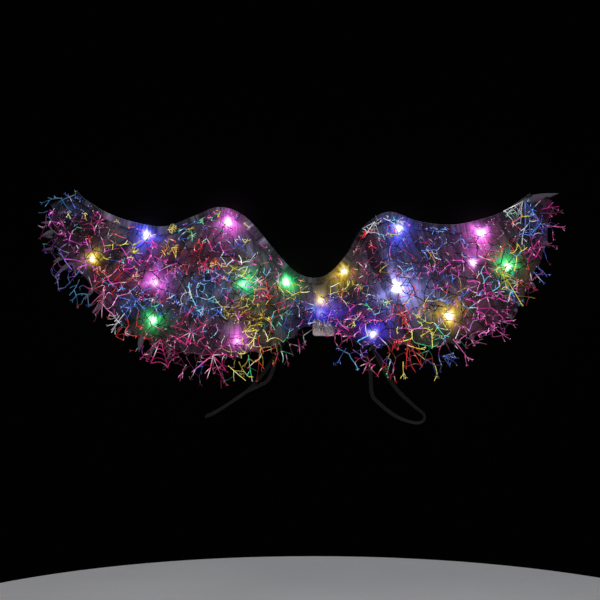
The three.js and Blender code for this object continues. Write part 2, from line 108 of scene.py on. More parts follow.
# The tulle: how far its seams stand in front of the organza and lie below the flap, the least share of a
# rib that a tier covers, and the share of their height by which its folds vary.
SEAM_STANDS = 3.3 * MM
SEAM_BELOW_FLAP = 3 * MM
TIER_LEAST = 0.1
FOLD_UNEVEN = 0.3


class Tier(NamedTuple):
    """A tier of tulle: its seam and hem as shares of a rib, how far it stands off the organza, the height
    of its folds, the share of its web that is foiled, and how many forked strands and bursts it carries."""

    name: str
    seam: float
    hem: float
    lift: float
    fold: float
    foiled: float
    forks: int
    bursts: int


class Wing(NamedTuple):
    """A wing: its shares of the span, and the folds in each of its tiers."""

    name: str
    start: float
    end: float
    folds: int


TIERS = (
    Tier("top", 0.06, 0.47, 20 * MM, 4.0 * MM, 0.62, 10, 12),
    Tier("mid", 0.36, 0.78, 14 * MM, 3.6 * MM, 0.64, 12, 14),
    Tier("low", 0.64, 1.00, 7.5 * MM, 3.2 * MM, 0.62, 8, 10),
)
WINGS = (
    Wing("left", 0.006, 0.4991, 10),
    Wing("right", 0.5009, 0.994, 9),
)


class Lamp(NamedTuple):
    """A light: its place in millimetres, its colour, how bright its middle is, how wide its halo spreads,
    how far right of it and above it the halo's middle lies, and the halo's colour if that is another one."""

    x: float
    z: float
    colour: str
    core: float
    spread: float
    right: float
    above: float
    halo: str = ""


LAMPS = {
    "left": (
        Lamp(-48, 27, "green", 1.0, 0.85, 4, -4),
        Lamp(-112, 24, "green", 0.25, 0.95, 7, 3, "teal"),
        Lamp(-135, 116, "pink", 1.0, 1.0, 2, -3),
        Lamp(-255, 97, "blue", 1.0, 1.2, -6, -6),
        Lamp(-335, 61, "yellow", 0.9, 0.72, 3, 1),
        Lamp(-243, 26, "pink", 1.0, 1.1, 2, 3),
        Lamp(-247, -30, "green", 1.0, 0.9, 2, -2),
        Lamp(-121, -62, "pink", 0.35, 0.9, 2, 4),
    ),
    "right": (
        Lamp(3, -19, "blue", 0.2, 1.5, 9, -2, "violet"),
        Lamp(4, -1, "yellow", 0.35, 0.75, 0, 1),
        Lamp(39, 43, "yellow", 0.9, 0.9, -3, -8),
        Lamp(121, 107, "blue", 1.4, 1.2, 2, -9),
        Lamp(117, 18, "white", 2.7, 1.85, 13, -9),
        Lamp(82, -51, "blue", 1.6, 1.25, 2, 5, "violet"),
        Lamp(196, -24, "yellow", 1.4, 1.15, -2, 5),
        Lamp(282, 50, "green", 1.0, 1.0, -4, 4),
        Lamp(231, 56, "white", 1.5, 0.8, 4, 13, "pink"),
        Lamp(243, 100, "pink", 1.1, 1.15, -6, -7),
    ),
}
ALL_LAMPS = LAMPS["left"] + LAMPS["right"]
LAMP_COLOURS = ("blue", "green", "pink", "yellow", "white")

# Leads and lights behind the organza.
LEAD_STARTS = {"left": -4 * MM, "right": 3 * MM}
LEAD_START_Z = -22.7 * MM
LEAD_DEPTH = 8.1 * MM
LEAD_TENSION = 0.35
LED_DEPTH = 5.0 * MM
LED_RADIUS = 2.2 * MM

# Routes of the shoulder loops: x, y and z of each point in millimetres, and the band's twist in degrees.
LOOPS = {
    "left": (
        (-12, 1.3, 17, 0), (-18, 1.3, 9, 0), (-30, 2.5, -7, 0), (-41, 8.5, -24, 0), (-53, 12.5, -52, 5),
        (-63, 14, -88, 15), (-74, 15, -119, 25), (-92, 16, -131, 35), (-112, 17, -141, 45),
        (-138, 19, -159, 50), (-160, 23, -172, 45), (-170, 32, -177, 40), (-160, 41, -174, 40),
        (-137, 44, -160, 50), (-110, 41, -141, 45), (-84, 34, -113, 30), (-62, 26, -80, 15),
        (-43, 13, -50, 5), (-31, 2.5, -32, 0), (-27, 1.3, -25, 0), (-23, 1.3, -17, 0),
    ),
    "right": (
        (13, 1.3, 19, 0), (19, 1.3, 12, 0), (33, 4, -4, 0), (56, 12, -31, 5), (80, 14, -67, 10),
        (101, 16, -108, 15), (121, 20, -137, 20), (145, 24, -160, 35), (161, 28, -174, 50),
        (160, 30, -184, 55), (147, 32, -187, 50), (119, 33, -177, 35), (91, 31, -155, 25),
        (82, 28, -141, 15), (79, 22, -105, 5), (69, 15, -73, 0), (52, 9, -48, 0), (41, 2.5, -33, 0),
        (36, 1.3, -26, 0), (31, 1.3, -18, 0),
    ),
}
BAND_THICK = 1.0 * MM

# Where the foil has each hue: x and z of the middle of a patch and its reach, in millimetres.
FOIL_PATCHES = {
    "sky": ((-385, 150, 24), (-350, 15, 24), (-172, -8, 14), (40, -90, 18), (268, 15, 18)),
    "blue": ((-282, -12, 22), (-170, 22, 26), (8, -14, 18), (200, 15, 22), (318, 112, 24)),
    "violet": ((-380, 48, 24), (-225, 30, 24), (30, -12, 14), (75, -70, 22)),
    "magenta": (
        (-252, 62, 30), (-150, 85, 30), (45, -45, 22), (180, 35, 26), (240, 10, 32), (258, -25, 28),
        (345, 128, 24), (340, 60, 26),
    ),
    "orchid": ((-392, 118, 22), (-345, 70, 22)),
    "raspberry": ((-232, -75, 26), (-140, -95, 24), (80, -95, 24)),
    "pink": ((-320, 5, 28), (-72, 35, 20), (210, -50, 28), (235, -60, 28)),
    "red": (
        (-300, 40, 32), (-275, -60, 24), (-200, 62, 24), (-165, 70, 20), (-65, 5, 26), (-80, -85, 22),
        (70, 90, 18), (125, -25, 26), (130, -85, 26), (262, 85, 20), (300, 30, 20),
    ),
    "gold": ((-225, 85, 22), (-102, -25, 28), (-30, 12, 22)),
    "yellow": (
        (-288, 82, 22), (-118, 50, 20), (-95, -45, 28), (-100, -90, 26), (28, 20, 24), (145, -20, 18),
        (150, -62, 24), (290, 38, 22),
    ),
    "green": ((-190, 105, 24), (-62, -30, 22), (165, -50, 24)),
    "silver": ((-298, -45, 14), (-192, 12, 20), (-105, 45, 18), (88, 112, 16), (300, 125, 22)),
    # Plum: a dark red-violet foil, which also stands as painted shade where the wings lie darker.
    "shaded_plum": (
        (-365, 95, 26), (-318, 108, 28), (-225, -90, 34), (-192, -45, 34), (-160, -90, 38),
        (-20, -40, 24), (50, -10, 26), (72, 60, 24), (95, 45, 24), (165, 80, 32), (265, 105, 20),
        (335, 20, 26),
    ),
    "navy": (
        (-360, 130, 22), (-305, 75, 20), (-215, 108, 20), (-215, -5, 26), (-125, 75, 22), (-48, -15, 24),
        (105, -5, 24), (160, 55, 30), (195, 98, 28), (185, -85, 16),
    ),
    "black": (),
}
FOIL_HUES = tuple(FOIL_PATCHES)

# Webs of foil that stand out: x and z of the hub and the reach in millimetres, the direction across the
# front that the web opens in and its spread in degrees, spokes, rings and hue.
FOIL_WEBS = (
    (-325, 116, 14, -90, 330, 8, 1, "magenta"), (-272, 69, 11, 80, 150, 7, 0, "yellow"),
    (-217, 106, 7, -90, 330, 9, 2, "yellow"), (-280, -10, 10, -90, 300, 6, 0, "blue"),
    (-234, -58, 40, -92, 88, 4, 5, "raspberry"), (-190, -48, 26, -90, 320, 8, 1, "raspberry"),
    (-316, 12, 38, -120, 46, 3, 1, "pink"), (-152, 62, 22, -100, 120, 5, 1, "red"),
    (-157, -82, 27, -90, 280, 7, 1, "raspberry"), (-87, 7, 12, -90, 330, 9, 2, "raspberry"),
    (85, 117, 22, -110, 80, 5, 3, "silver"), (123, -20, 18, -90, 320, 8, 0, "red"),
    (134, -62, 38, -70, 60, 4, 5, "red"), (74, -94, 16, -90, 250, 6, 1, "raspberry"),
    (186, -84, 20, -20, 70, 4, 3, "navy"), (271, 44, 34, -60, 60, 5, 3, "yellow"),
    (303, 146, 40, -120, 52, 5, 5, "silver"), (307, 146, 56, -72, 40, 4, 4, "blue"),
    (318, 76, 20, -20, 250, 6, 0, "magenta"),
)

# Forked strands that stand out: x and z of the root and length in millimetres, direction in degrees, hue.
FOIL_FORKS = (
    (-361, 155, 26, 205, "sky"), (-359, 150, 9, 100, "sky"), (-366, 150, 9, 140, "blue"),
    (-353, 145, 9, 75, "navy"), (-378, 150, 28, 180, "sky"), (-379, 151, 26, -68, "sky"),
    (-368, 134, 20, -30, "blue"), (-400, 126, 20, -100, "orchid"), (-395, 120, 27, -57, "pink"),
    (-384, 92, 24, -115, "orchid"), (-377, 47, 18, -120, "violet"), (-352, 30, 26, -105, "sky"),
    (-287, -20, 34, -130, "silver"), (-332, 20, 58, 35, "red"), (-322, 12, 46, 40, "red"),
    (-298, 85, 18, -150, "yellow"), (-282, 30, 24, 20, "yellow"), (-172, -10, 18, -110, "blue"),
    (-202, -5, 18, -60, "blue"), (-132, 52, 22, -40, "yellow"), (-88, 62, 20, -150, "pink"),
    (-72, -24, 24, -80, "red"), (-110, -33, 22, -70, "gold"), (-104, -40, 20, 20, "yellow"),
    (-157, -82, 48, -72, "raspberry"), (-157, -82, 36, -96, "raspberry"), (-157, -82, 40, -142, "pink"),
    (-196, -96, 26, -125, "pink"), (-134, -98, 34, -40, "yellow"), (-104, -82, 40, -84, "green"),
    (-87, -72, 50, -92, "red"), (-118, -92, 28, -70, "yellow"), (-60, -78, 22, -100, "red"),
    (-48, -80, 20, -80, "shaded_plum"), (-30, -58, 22, -75, "magenta"), (52, 66, 14, 55, "gold"),
    (60, 82, 16, 60, "red"), (68, 94, 18, 65, "red"), (82, 110, 16, 45, "silver"),
    (98, 122, 18, -20, "silver"), (-4, -22, 20, -75, "black"), (3, -24, 22, -95, "black"),
    (8, -22, 26, -80, "black"), (15, -24, 22, -100, "black"), (20, -22, 26, -75, "black"),
    (24, -30, 24, -95, "shaded_plum"), (28, -28, 24, -60, "magenta"), (42, -72, 26, -125, "blue"),
    (52, -74, 20, -40, "violet"), (38, 18, 20, -110, "red"), (160, 76, 24, -48, "gold"),
    (152, -54, 22, 30, "yellow"), (127, -92, 24, -95, "yellow"), (172, -94, 22, -60, "yellow"),
    (108, -88, 24, -100, "green"), (172, -60, 20, 20, "green"), (200, -58, 38, -50, "pink"),
    (212, -50, 40, -35, "pink"), (252, 26, 24, -60, "pink"), (268, 10, 22, -30, "pink"),
    (262, -28, 34, -25, "magenta"), (256, -36, 34, -45, "magenta"), (276, 4, 24, -15, "sky"),
    (271, 42, 60, -58, "yellow"), (300, 22, 20, -20, "red"), (322, 50, 22, -30, "blue"),
    (318, 42, 22, -50, "blue"), (328, 128, 24, 5, "magenta"), (330, 134, 26, 14, "magenta"),
    (338, 110, 24, -8, "pink"), (330, 84, 24, -20, "magenta"),
)


def length_value(name, description, default, least=0):
    """A length that a user may change, in metres."""
    return FloatProperty(
        name=name,
        description=description,
        default=default,
        min=least,
        precision=5,
        subtype="DISTANCE",
        unit="LENGTH",
    )


def share_value(name, description, default):
    """A share from 0 to 1 that a user may change."""
    return FloatProperty(name=name, description=description, default=default, min=0, max=1, subtype="FACTOR")


def colour_value(name, description, default):
    """A colour that a user may change, as it shows on a screen."""
    return FloatVectorProperty(
        name=name, description=description, default=default, size=3, min=0, max=1, subtype="COLOR_GAMMA"
    )


def power_value(name, description, default):
    """The power of a studio light, in watts."""
    return FloatProperty(name=name, description=description, default=default, min=0, unit="POWER")


class WINGS_PG_cloth(bpy.types.PropertyGroup):
    """Organza and tulle."""

    pleat_height: length_value("Pleat height", "How far the organza's pleats stand off its middle", 1.9 * MM)
    pleat_pitch: length_value("Pleat pitch", "Width of one pleat of the organza", 15 * MM)
    pleat_lean: share_value("Pleat lean", "How far a pleat runs outwards for each step down", 0.28)
    scallop_pitch: length_value("Scallop pitch", "Width of one arch of the cloths' lower edges", 23 * MM)
    scallop_depth: length_value("Scallop depth", "Height of one arch of the cloths' lower edges", 9 * MM)
    organza_colour: colour_value("Organza colour", "Colour of the ground cloth", (0.192, 0.20, 0.228))
    organza_cover: share_value("Organza cover", "How much of the light behind it the organza stops", 0.86)
    tulle_colour: colour_value("Tulle colour", "Colour of the tulle's net", (0.15, 0.145, 0.17))
    tulle_cover: share_value("Tulle cover", "How much of the view behind it the net hides", 0.16)


class WINGS_PG_foil(bpy.types.PropertyGroup):
    """Foil strands of the tulle and the fringe."""

    strand_width: length_value("Strand width", "Width of a foil strand on the tulle", 1.05 * MM)
    fringe_width: length_value("Fringe width", "Width of a foil strand in the fringe", 1.15 * MM)
    sky: colour_value("Sky foil", "Sky-blue foil", (0.36, 0.68, 0.93))
    blue: colour_value("Blue foil", "Deep blue foil", (0.27, 0.42, 0.86))
    violet: colour_value("Violet foil", "Violet foil", (0.52, 0.34, 0.80))
    magenta: colour_value("Magenta foil", "Magenta foil", (0.77, 0.18, 0.56))
    orchid: colour_value("Orchid foil", "Purple-pink foil", (0.72, 0.25, 0.68))
    raspberry: colour_value("Raspberry foil", "Red-pink foil", (0.74, 0.16, 0.44))
    pink: colour_value("Pink foil", "Pink foil", (0.90, 0.40, 0.68))
    red: colour_value("Red foil", "Red foil", (0.82, 0.17, 0.18))
    gold: colour_value("Gold foil", "Orange gold foil", (0.78, 0.58, 0.18))
    yellow: colour_value("Yellow foil", "Yellow foil", (0.90, 0.82, 0.28))
    green: colour_value("Green foil", "Blue-green foil", (0.20, 0.66, 0.46))
    silver: colour_value("Silver foil", "Silver foil", (0.82, 0.82, 0.86))
    # Plum is a dark red-violet foil, which also stands as painted shade where the wings lie darker.
    shaded_plum: colour_value("Plum foil", "Dark red-violet foil", (0.42, 0.10, 0.27))
    navy: colour_value("Navy foil", "Dark blue foil", (0.21, 0.29, 0.62))
    black: colour_value("Black web", "Strands of the web without foil", (0.03, 0.03, 0.04))


class WINGS_PG_lights(bpy.types.PropertyGroup):
    """Lights behind the cloth."""

    core_reach: length_value("Core reach", "Reach of the white middle of a light in the cloth", 4.3 * MM)
    glow_reach: length_value("Glow reach", "Reach of the bright colour round a light in the cloth", 9 * MM)
    halo_reach: length_value("Halo reach", "Reach of a light's coloured halo in the cloth", 15.5 * MM)
    haze_reach: length_value("Haze reach", "Reach of a light's faint outer haze in the cloth", 38 * MM)
    blue: colour_value("Blue light", "Colour of the blue lights", (0.30, 0.34, 1.0))
    green: colour_value("Green light", "Colour of the green lights", (0.04, 0.92, 0.45))
    pink: colour_value("Pink light", "Colour of the pink lights", (0.98, 0.42, 0.95))
    yellow: colour_value("Yellow light", "Colour of the yellow lights", (1.0, 0.84, 0.08))
    white: colour_value("White light", "Colour of the cool white lights", (0.62, 0.62, 1.0))
    teal: colour_value("Teal halo", "Halo of the green light that shows blue-green", (0.02, 0.92, 0.58))
    violet: colour_value("Violet halo", "Halo of the blue lights in the middle", (0.25, 0.18, 1.0))


class WINGS_PG_fittings(bpy.types.PropertyGroup):
    """Shoulder loops, leads and battery case."""

    band_width: length_value("Band width", "Width of the elastic of the shoulder loops", 6 * MM)
    elastic_colour: colour_value("Elastic colour", "Colour of the shoulder loops", (0.085, 0.078, 0.076))
    lead_colour: colour_value("Lead colour", "Colour of the lacquered light leads", (0.20, 0.19, 0.19))
    case_colour: colour_value("Case colour", "Colour of the battery case", (0.80, 0.735, 0.745))


class WINGS_PG_stage(bpy.types.PropertyGroup):
    """Floor, lights and camera."""

    floor_drop: length_value("Floor drop", "How far the floor lies below the middle of the wings", 0.52)
    floor_reach: length_value("Floor reach", "Radius of the round floor", 0.75)
    floor_colour: colour_value("Floor colour", "Colour of the floor", (0.80, 0.80, 0.81))
    key_power: power_value("Key light", "Power of the large soft light at the front left", 26.0)
    fill_power: power_value("Fill light", "Power of the soft light at the front right", 14.0)
    back_power: power_value("Back light", "Power of the soft light above and behind", 12.0)
    camera_distance: length_value("Camera distance", "Distance of the camera from the wings", 2.125)
    camera_side: length_value("Camera side", "Place of the camera along the wings", -27 * MM, -1)


class WINGS_PG_settings(bpy.types.PropertyGroup):
    """Everything that a user may change."""

    cloth: PointerProperty(type=WINGS_PG_cloth)
    foil: PointerProperty(type=WINGS_PG_foil)
    lights: PointerProperty(type=WINGS_PG_lights)
    fittings: PointerProperty(type=WINGS_PG_fittings)
    stage: PointerProperty(type=WINGS_PG_stage)
    seed: IntProperty(name="Seed", description="Start of the foil's chance layout", default=11, min=0)


# Numbers and curves


def linear(colour):
    """A screen colour as light: the standard curve, a straight foot and a power of 2.4 above it."""
    shown = np.array(colour)
    return np.where(shown <= 0.04045, shown / 12.92, ((shown + 0.055) / 1.055) ** 2.4)


def unit(vectors):
    """Vectors of length one along the last axis."""
    return vectors / np.linalg.norm(vectors, axis=-1, keepdims=True)


def ease(share):
    """A smooth step from 0 to 1: three squares less two cubes of the share, held to 0 and 1."""
    held = np.clip(share, 0, 1)
    return held * held * (3 - 2 * held)


def mixed(low, high, share):
    """The value a share of the way from low to high."""
    return low + (high - low) * share


JITTER_NUMBER = 12.9898
JITTER_KIND = 78.233
JITTER_SPREAD = 43758.5453


def jitter(number, kind):
    """A repeatable value from 0 to 1 for each number: the fraction of a large multiple of a sine."""
    wave = np.sin(number * JITTER_NUMBER + kind * JITTER_KIND) * JITTER_SPREAD
    return wave - np.floor(wave)


def swayed(phase, along, sways):
    """A phase with the sways added: each is a height times the sine of the distance along over a length."""
    for height, length in sways:
        phase = phase + height * np.sin(along / length)
    return phase


def bearing(vectors):
    """The direction of vectors across the front, as an angle from X."""
    return np.arctan2(vectors[..., 1], vectors[..., 0])


def pointing(angle):
    """Vectors of length one across the front at an angle from X."""
    return np.stack([np.cos(angle), np.sin(angle)], axis=-1)


def quarter_turn(vectors):
    """Vectors across the front, turned by a quarter to the left."""
    return np.stack([-vectors[..., 1], vectors[..., 0]], axis=-1)


def smooth_rows(rows, share, tension=0.5):
    """Rows of a table read at shares of its length: between two rows a cubic whose slope at each row is
    the tension times the step from the row before to the row after. The ends are mirrored."""
    padded = np.vstack([2 * rows[0] - rows[1], rows, 2 * rows[-1] - rows[-2]])
    place = np.clip(share, 0, 1) * (len(rows) - 1)
    row = np.minimum(place.astype(int), len(rows) - 2)
    part = (place - row)[..., None]
    before, here, after, beyond = (padded[row + step] for step in range(4))
    leaving = tension * (after - before)
    arriving = tension * (beyond - here)
    square, cube = part**2, part**3
    return (
        (2 * cube - 3 * square + 1) * here
        + (cube - 2 * square + part) * leaving
        + (3 * square - 2 * cube) * after
        + (cube - square) * arriving
    )


def path_lengths(points):
    """How far along a path each of its points lies."""
    steps = np.linalg.norm(np.diff(points, axis=0), axis=1)
    return np.concatenate([[0], np.cumsum(steps)])


ROUTE_POINTS = 3000


def read_along(points, lengths, even):
    """A path's points at other distances along it, each coordinate read between its neighbours."""
    return np.stack([np.interp(even, lengths, column) for column in points.T], axis=-1)


# The chart of the cloth: shares of the span, and distances along the line through the ribs' middles

FINE_SPANS = np.linspace(0, 1, 4001)
MIDDLES = (smooth_rows(RIBS[:, EDGE], FINE_SPANS) + smooth_rows(RIBS[:, HEM], FINE_SPANS)) / 2
ALONG = path_lengths(MIDDLES)
CENTRE = np.interp(0.5, FINE_SPANS, ALONG)


def span_at(along):
    """The share of the span at a distance along the wings."""
    return np.interp(along, ALONG, FINE_SPANS)


def wing_ends(wing):
    """Distances along the wings where one wing's tulle starts and ends."""
    return np.interp([wing.start, wing.end], FINE_SPANS, ALONG)


class Rib(NamedTuple):
    """A rib: its start on the wire, its direction and length, the direction square to the wire, how far the
    fringe and the cloth hang past it, its casing flap, and the share of their height that folds have."""

    edge: np.ndarray
    down: np.ndarray
    length: np.ndarray
    square: np.ndarray
    fringe: np.ndarray
    past: np.ndarray
    flap: np.ndarray
    flatness: np.ndarray


def rib_at(span):
    """The straight rib from the leading edge's curve to the hem's at each share of the span."""
    step = 1e-4
    rows = np.linspace(0, 1, len(RIBS))
    edge = smooth_rows(RIBS[:, EDGE], span)
    fall = smooth_rows(RIBS[:, HEM], span) - edge
    length = np.linalg.norm(fall, axis=-1)
    tangent = unit(smooth_rows(RIBS[:, EDGE], span + step) - smooth_rows(RIBS[:, EDGE], span - step))
    return Rib(
        edge=edge,
        down=fall / length[..., None],
        length=length,
        square=-quarter_turn(tangent),
        fringe=np.interp(span, rows, RIBS[:, FRINGE]),
        past=np.interp(span, rows, RIBS[:, PAST]),
        flap=np.clip(FLAP_SHARE * length, FLAP_LEAST, FLAP_MOST),
        flatness=np.minimum(1, length / FULL_RIB),
    )


def rib_place(along, down):
    """The place across the front at a distance along the wings and down the rib there."""
    rib = rib_at(span_at(along))
    return rib.edge + rib.down * down[..., None]


NEWTON_STEPS = 6
NEWTON_REACH = 40 * MM


def ribs_through(place):
    """How far along the wings and down its rib each place across the front lies: Newton's steps towards it
    on the straight ribs, from the rib whose middle has the same x."""
    step = 0.1 * MM
    along = np.clip(np.interp(place[..., 0], MIDDLES[:, 0], ALONG), 0, ALONG[-1] - 2 * step)
    down = 0 * along
    for _ in range(NEWTON_STEPS):
        here = rib_place(along, down)
        off = place - here
        by_along = (rib_place(along + step, down) - here) / step
        by_down = (rib_place(along, down + step) - here) / step
        area = by_along[..., 0] * by_down[..., 1] - by_along[..., 1] * by_down[..., 0]
        more_along = (off[..., 0] * by_down[..., 1] - off[..., 1] * by_down[..., 0]) / area
        more_down = (by_along[..., 0] * off[..., 1] - by_along[..., 1] * off[..., 0]) / area
        along = np.clip(along + np.clip(more_along, -NEWTON_REACH, NEWTON_REACH), 0, ALONG[-1] - 2 * step)
        down = down + np.clip(more_down, -NEWTON_REACH, NEWTON_REACH)
    return along, down


def stand(place, front):
    """Points at x and z that stand a distance in front of the wings' bowed middle surface, which comes
    forward with the square of the distance from the middle."""
    x, z = place[..., 0], place[..., 1]
    return np.stack([x, -BOW * (x / BOW_REACH) ** 2 - front, z], axis=-1)


def tier_reach(tier, rib):
    """Where a tier's seam lies on a rib, as a share, and how far the tier hangs below it. The lowest tier
    hangs past the rib's end."""
    clear_of_flap = (rib.flap + SEAM_BELOW_FLAP) / np.sum(rib.down * rib.square, axis=-1)
    seam = np.maximum(tier.seam, clear_of_flap / rib.length)
    past = rib.past if tier is TIERS[-1] else 0
    return seam, (np.maximum(tier.hem, seam + TIER_LEAST) - seam) * rib.length + past


# Scallops: the sway of their pitch, their heights, and how round they are.
SCALLOP_SWAY = 0.3
SCALLOP_SWAY_PITCHES = 1.7
SCALLOP_HEIGHTS = (0.45, 1.15)
SCALLOP_ROUND = 0.8


def scallop_bite(cloth, along, kind):
    """How far the arches of a lower edge cut into the cloth: the height of a sine's half wave in each
    pitch, drawn fuller by a power, with the height of each arch varied."""
    pitch = cloth.scallop_pitch
    arch = swayed(along / pitch, along, [(SCALLOP_SWAY, SCALLOP_SWAY_PITCHES * pitch)])
    height = cloth.scallop_depth * mixed(*SCALLOP_HEIGHTS, jitter(np.floor(arch), kind))
    return height * np.abs(np.sin(np.pi * arch)) ** SCALLOP_ROUND


GATHER_HEIGHT = 0.5 * MM
GATHER_PITCH = 6.5 * MM
GATHER_FADE = 14 * MM


def tulle_point(wing, tier, along, below):
    """A point of a tier of tulle, a distance along the wings and below the seam. It lies on the rib there
    and stands off by the tier's lift times 1 - (1 - drop) squared, plus a sine of the folds that grows
    with the drop, plus the small gathers at the seam, which fade as the tulle drops."""
    start, end = wing_ends(wing)
    rib = rib_at(span_at(along))
    seam, depth = tier_reach(tier, rib)
    drop = below / depth
    fold = wing.folds * (along - start) / (end - start)
    height = tier.fold * (1 - FOLD_UNEVEN * jitter(np.floor(fold), tier.lift / MM))
    standing = tier.lift * (1 - (1 - np.minimum(drop, 1)) ** 2)
    gather = GATHER_HEIGHT * np.exp(-below / GATHER_FADE) * np.sin(TURN * along / GATHER_PITCH)
    front = SEAM_STANDS + (standing + height * drop * np.sin(TURN * fold)) * rib.flatness + gather
    return stand(rib.edge + rib.down * (seam * rib.length + below)[..., None], front)


# Light of the lamps in the cloth

CORE_LIGHT = 3.2
GLOW_LIGHT = 1.5
GLOW_LEAST = 0.5
HALO_LIGHT = 0.7
HAZE_LIGHT = 0.05
HALO_STEEP = 2.2

# Ripples round a halo: height, number of waves, and the number that picks each lamp's turn.
HALO_RIPPLES = ((0.12, 3, 5), (0.09, 7, 6))


def lamp_places(lamps):
    """Where lights lie across the front."""
    return MM * np.array([(lamp.x, lamp.z) for lamp in lamps])


def lamp_glow(lights, points):
    """Light of the lamps at points of the cloth: for each lamp a white bell of the distance across the
    front, a coloured bell, and a flat-topped halo and a faint haze about the halo's middle. Sines of the
    direction draw the distances in and out, so that no halo is a disc."""
    drift = MM * np.array([(lamp.right, lamp.above) for lamp in ALL_LAMPS])
    bright, spread = np.array([(lamp.core, lamp.spread) for lamp in ALL_LAMPS]).T
    colour = linear([getattr(lights, lamp.halo or lamp.colour) for lamp in ALL_LAMPS])
    offset = points[..., None, [0, 2]] - lamp_places(ALL_LAMPS)
    direction = bearing(offset)
    number = np.arange(len(ALL_LAMPS))
    ragged = 1
    for height, waves, kind in HALO_RIPPLES:
        ragged = ragged + height * np.sin(waves * direction + TURN * jitter(number, kind))
    distance = np.linalg.norm(offset, axis=-1) * ragged
    core = CORE_LIGHT * bright * np.exp(-((distance / lights.core_reach) ** 2) / spread)
    glow = GLOW_LIGHT * mixed(GLOW_LEAST, 1, np.minimum(bright, 1))
    glow = glow * np.exp(-((distance / lights.glow_reach / spread) ** 2))
    distance = np.linalg.norm(offset - drift, axis=-1) * ragged / spread
    halo = HALO_LIGHT * np.exp(-((distance / lights.halo_reach) ** HALO_STEEP))
    haze = HAZE_LIGHT * np.exp(-((distance / lights.haze_reach) ** 2))
    return core.sum(axis=-1)[..., None] + (glow + halo + haze) @ colour


# Hues of the foil across the wings

STRAY_HUES = 0.03
HUE_SHARP = 1.25


def palette(foil):
    """The foil's hues as light, in the order of their names."""
    return linear([getattr(foil, hue) for hue in FOIL_HUES])


def hue_shares(place):
    """How much of each hue the foil has at places across the wings: bells round the patches' middles, added
    up for each hue, plus a little of every hue, with the leading hue drawn out by a power."""
    patches = MM * np.array([patch for group in FOIL_PATCHES.values() for patch in group])
    hue = np.repeat(np.arange(len(FOIL_HUES)), [len(group) for group in FOIL_PATCHES.values()])
    distance = np.linalg.norm(place[..., None, :] - patches[:, :2], axis=-1)
    bells = np.exp(-((distance / patches[:, 2]) ** 2))
    shares = (bells @ np.eye(len(FOIL_HUES))[hue] + STRAY_HUES) ** HUE_SHARP
    return shares / shares.sum(axis=-1, keepdims=True)


# Meshes


def grid_faces(rows, columns):
    """Quads between neighbouring points of a grid whose points are counted row by row."""
    corner = np.arange(rows * columns).reshape(rows, columns)
    quads = [corner[:-1, :-1], corner[:-1, 1:], corner[1:, 1:], corner[1:, :-1]]
    return np.stack(quads, axis=-1).reshape(-1, 4)


def tube_faces(points, clockwise=False):
    """Sides and caps of closed tubes, counted by tubes, rings and corners: quads from corner to corner and
    ring to ring. They face outwards where the corners, seen from the far end, run counter-clockwise, or
    clockwise if that is given."""
    index = np.arange(points.size // 3).reshape(points.shape[:3])
    turned = np.roll(index, -1, axis=2)
    corners = [index[:, :-1], turned[:, :-1], turned[:, 1:], index[:, 1:]]
    caps = [index[:, 0, ::-1], index[:, -1]]
    if clockwise:
        corners = [corners[0], *corners[:0:-1]]
        caps = [cap[:, ::-1] for cap in caps]
    return [np.stack(corners, axis=-1).reshape(-1, 4), np.concatenate(caps)]


def sweep(paths, normals, ring, size):
    """Closed bars: a ring of points, (across, out) in shares of the size, carried along each path. Across
    is the normal turned square to the path, and out is square to both. Gives points and faces."""
    tangents = unit(np.gradient(paths, axis=1))
    across = unit(np.cross(normals, tangents))
    out = np.cross(tangents, across)
    ring = np.asarray(ring, dtype=float)
    size = np.broadcast_to(size, paths.shape[:2])[..., None, None]
    section = ring[:, 0, None] * across[:, :, None] + ring[:, 1, None] * out[:, :, None]
    points = paths[:, :, None] + size * section
    return points.reshape(-1, 3), tube_faces(points)


def forwards(points):
    """The direction to the front, once for each point."""
    return np.broadcast_to(FORWARD, points.shape)


def round_ring(corners):
    """A ring of corners evenly round a circle of diameter one."""
    return pointing(TURN * np.arange(corners) / corners) / 2


def new_mesh(name, points, faces, material, smooth=True, uv=None, colours=None):
    """A mesh from points, arrays of faces and a material, with its values at each point: uv for the
    pattern, and named colours."""
    points = points.reshape(-1, 3)
    faces = faces if isinstance(faces, list) else [faces]
    corners = np.concatenate([part.ravel() for part in faces]).astype(np.int32)
    sizes = np.concatenate([np.full(len(part), part.shape[1]) for part in faces])
    mesh = bpy.data.meshes.new(name)
    mesh.vertices.add(len(points))
    mesh.vertices.foreach_set("co", points.astype(np.float32).ravel())
    mesh.loops.add(len(corners))
    mesh.loops.foreach_set("vertex_index", corners)
    mesh.polygons.add(len(sizes))
    mesh.polygons.foreach_set("loop_start", (np.cumsum(sizes) - sizes).astype(np.int32))
    mesh.polygons.foreach_set("use_smooth", np.full(len(sizes), smooth))
    if uv is not None:
        pattern = uv.reshape(-1, 2)[corners]
        mesh.uv_layers.new(name="cloth").data.foreach_set("uv", pattern.astype(np.float32).ravel())
    for key, colour in (colours or {}).items():
        full = np.concatenate([colour.reshape(-1, 3), np.ones((len(points), 1))], axis=1)
        layer = mesh.attributes.new(key, "FLOAT_COLOR", "POINT")
        layer.data.foreach_set("color", full.astype(np.float32).ravel())
    mesh.update(calc_edges=True)
    if mesh.validate():
        raise ValueError(f"{name} has a face that is not a face")
    mesh.materials.append(material)
    return mesh


def add_object(name, data):
    """An object on the scene."""
    made = bpy.data.objects.new(name, data)
    bpy.context.scene.collection.objects.link(made)
    return made


def add_piece(name, points, faces, material, slot, replaced=(), **values):
    """A mesh object on the root body, with the nodes that it replaces hidden. The slot is not used."""
    piece = add_object(name, new_mesh(name, points, faces, material, **values))
    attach(piece, "root")
    if replaced:
        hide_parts(*replaced)
    return piece


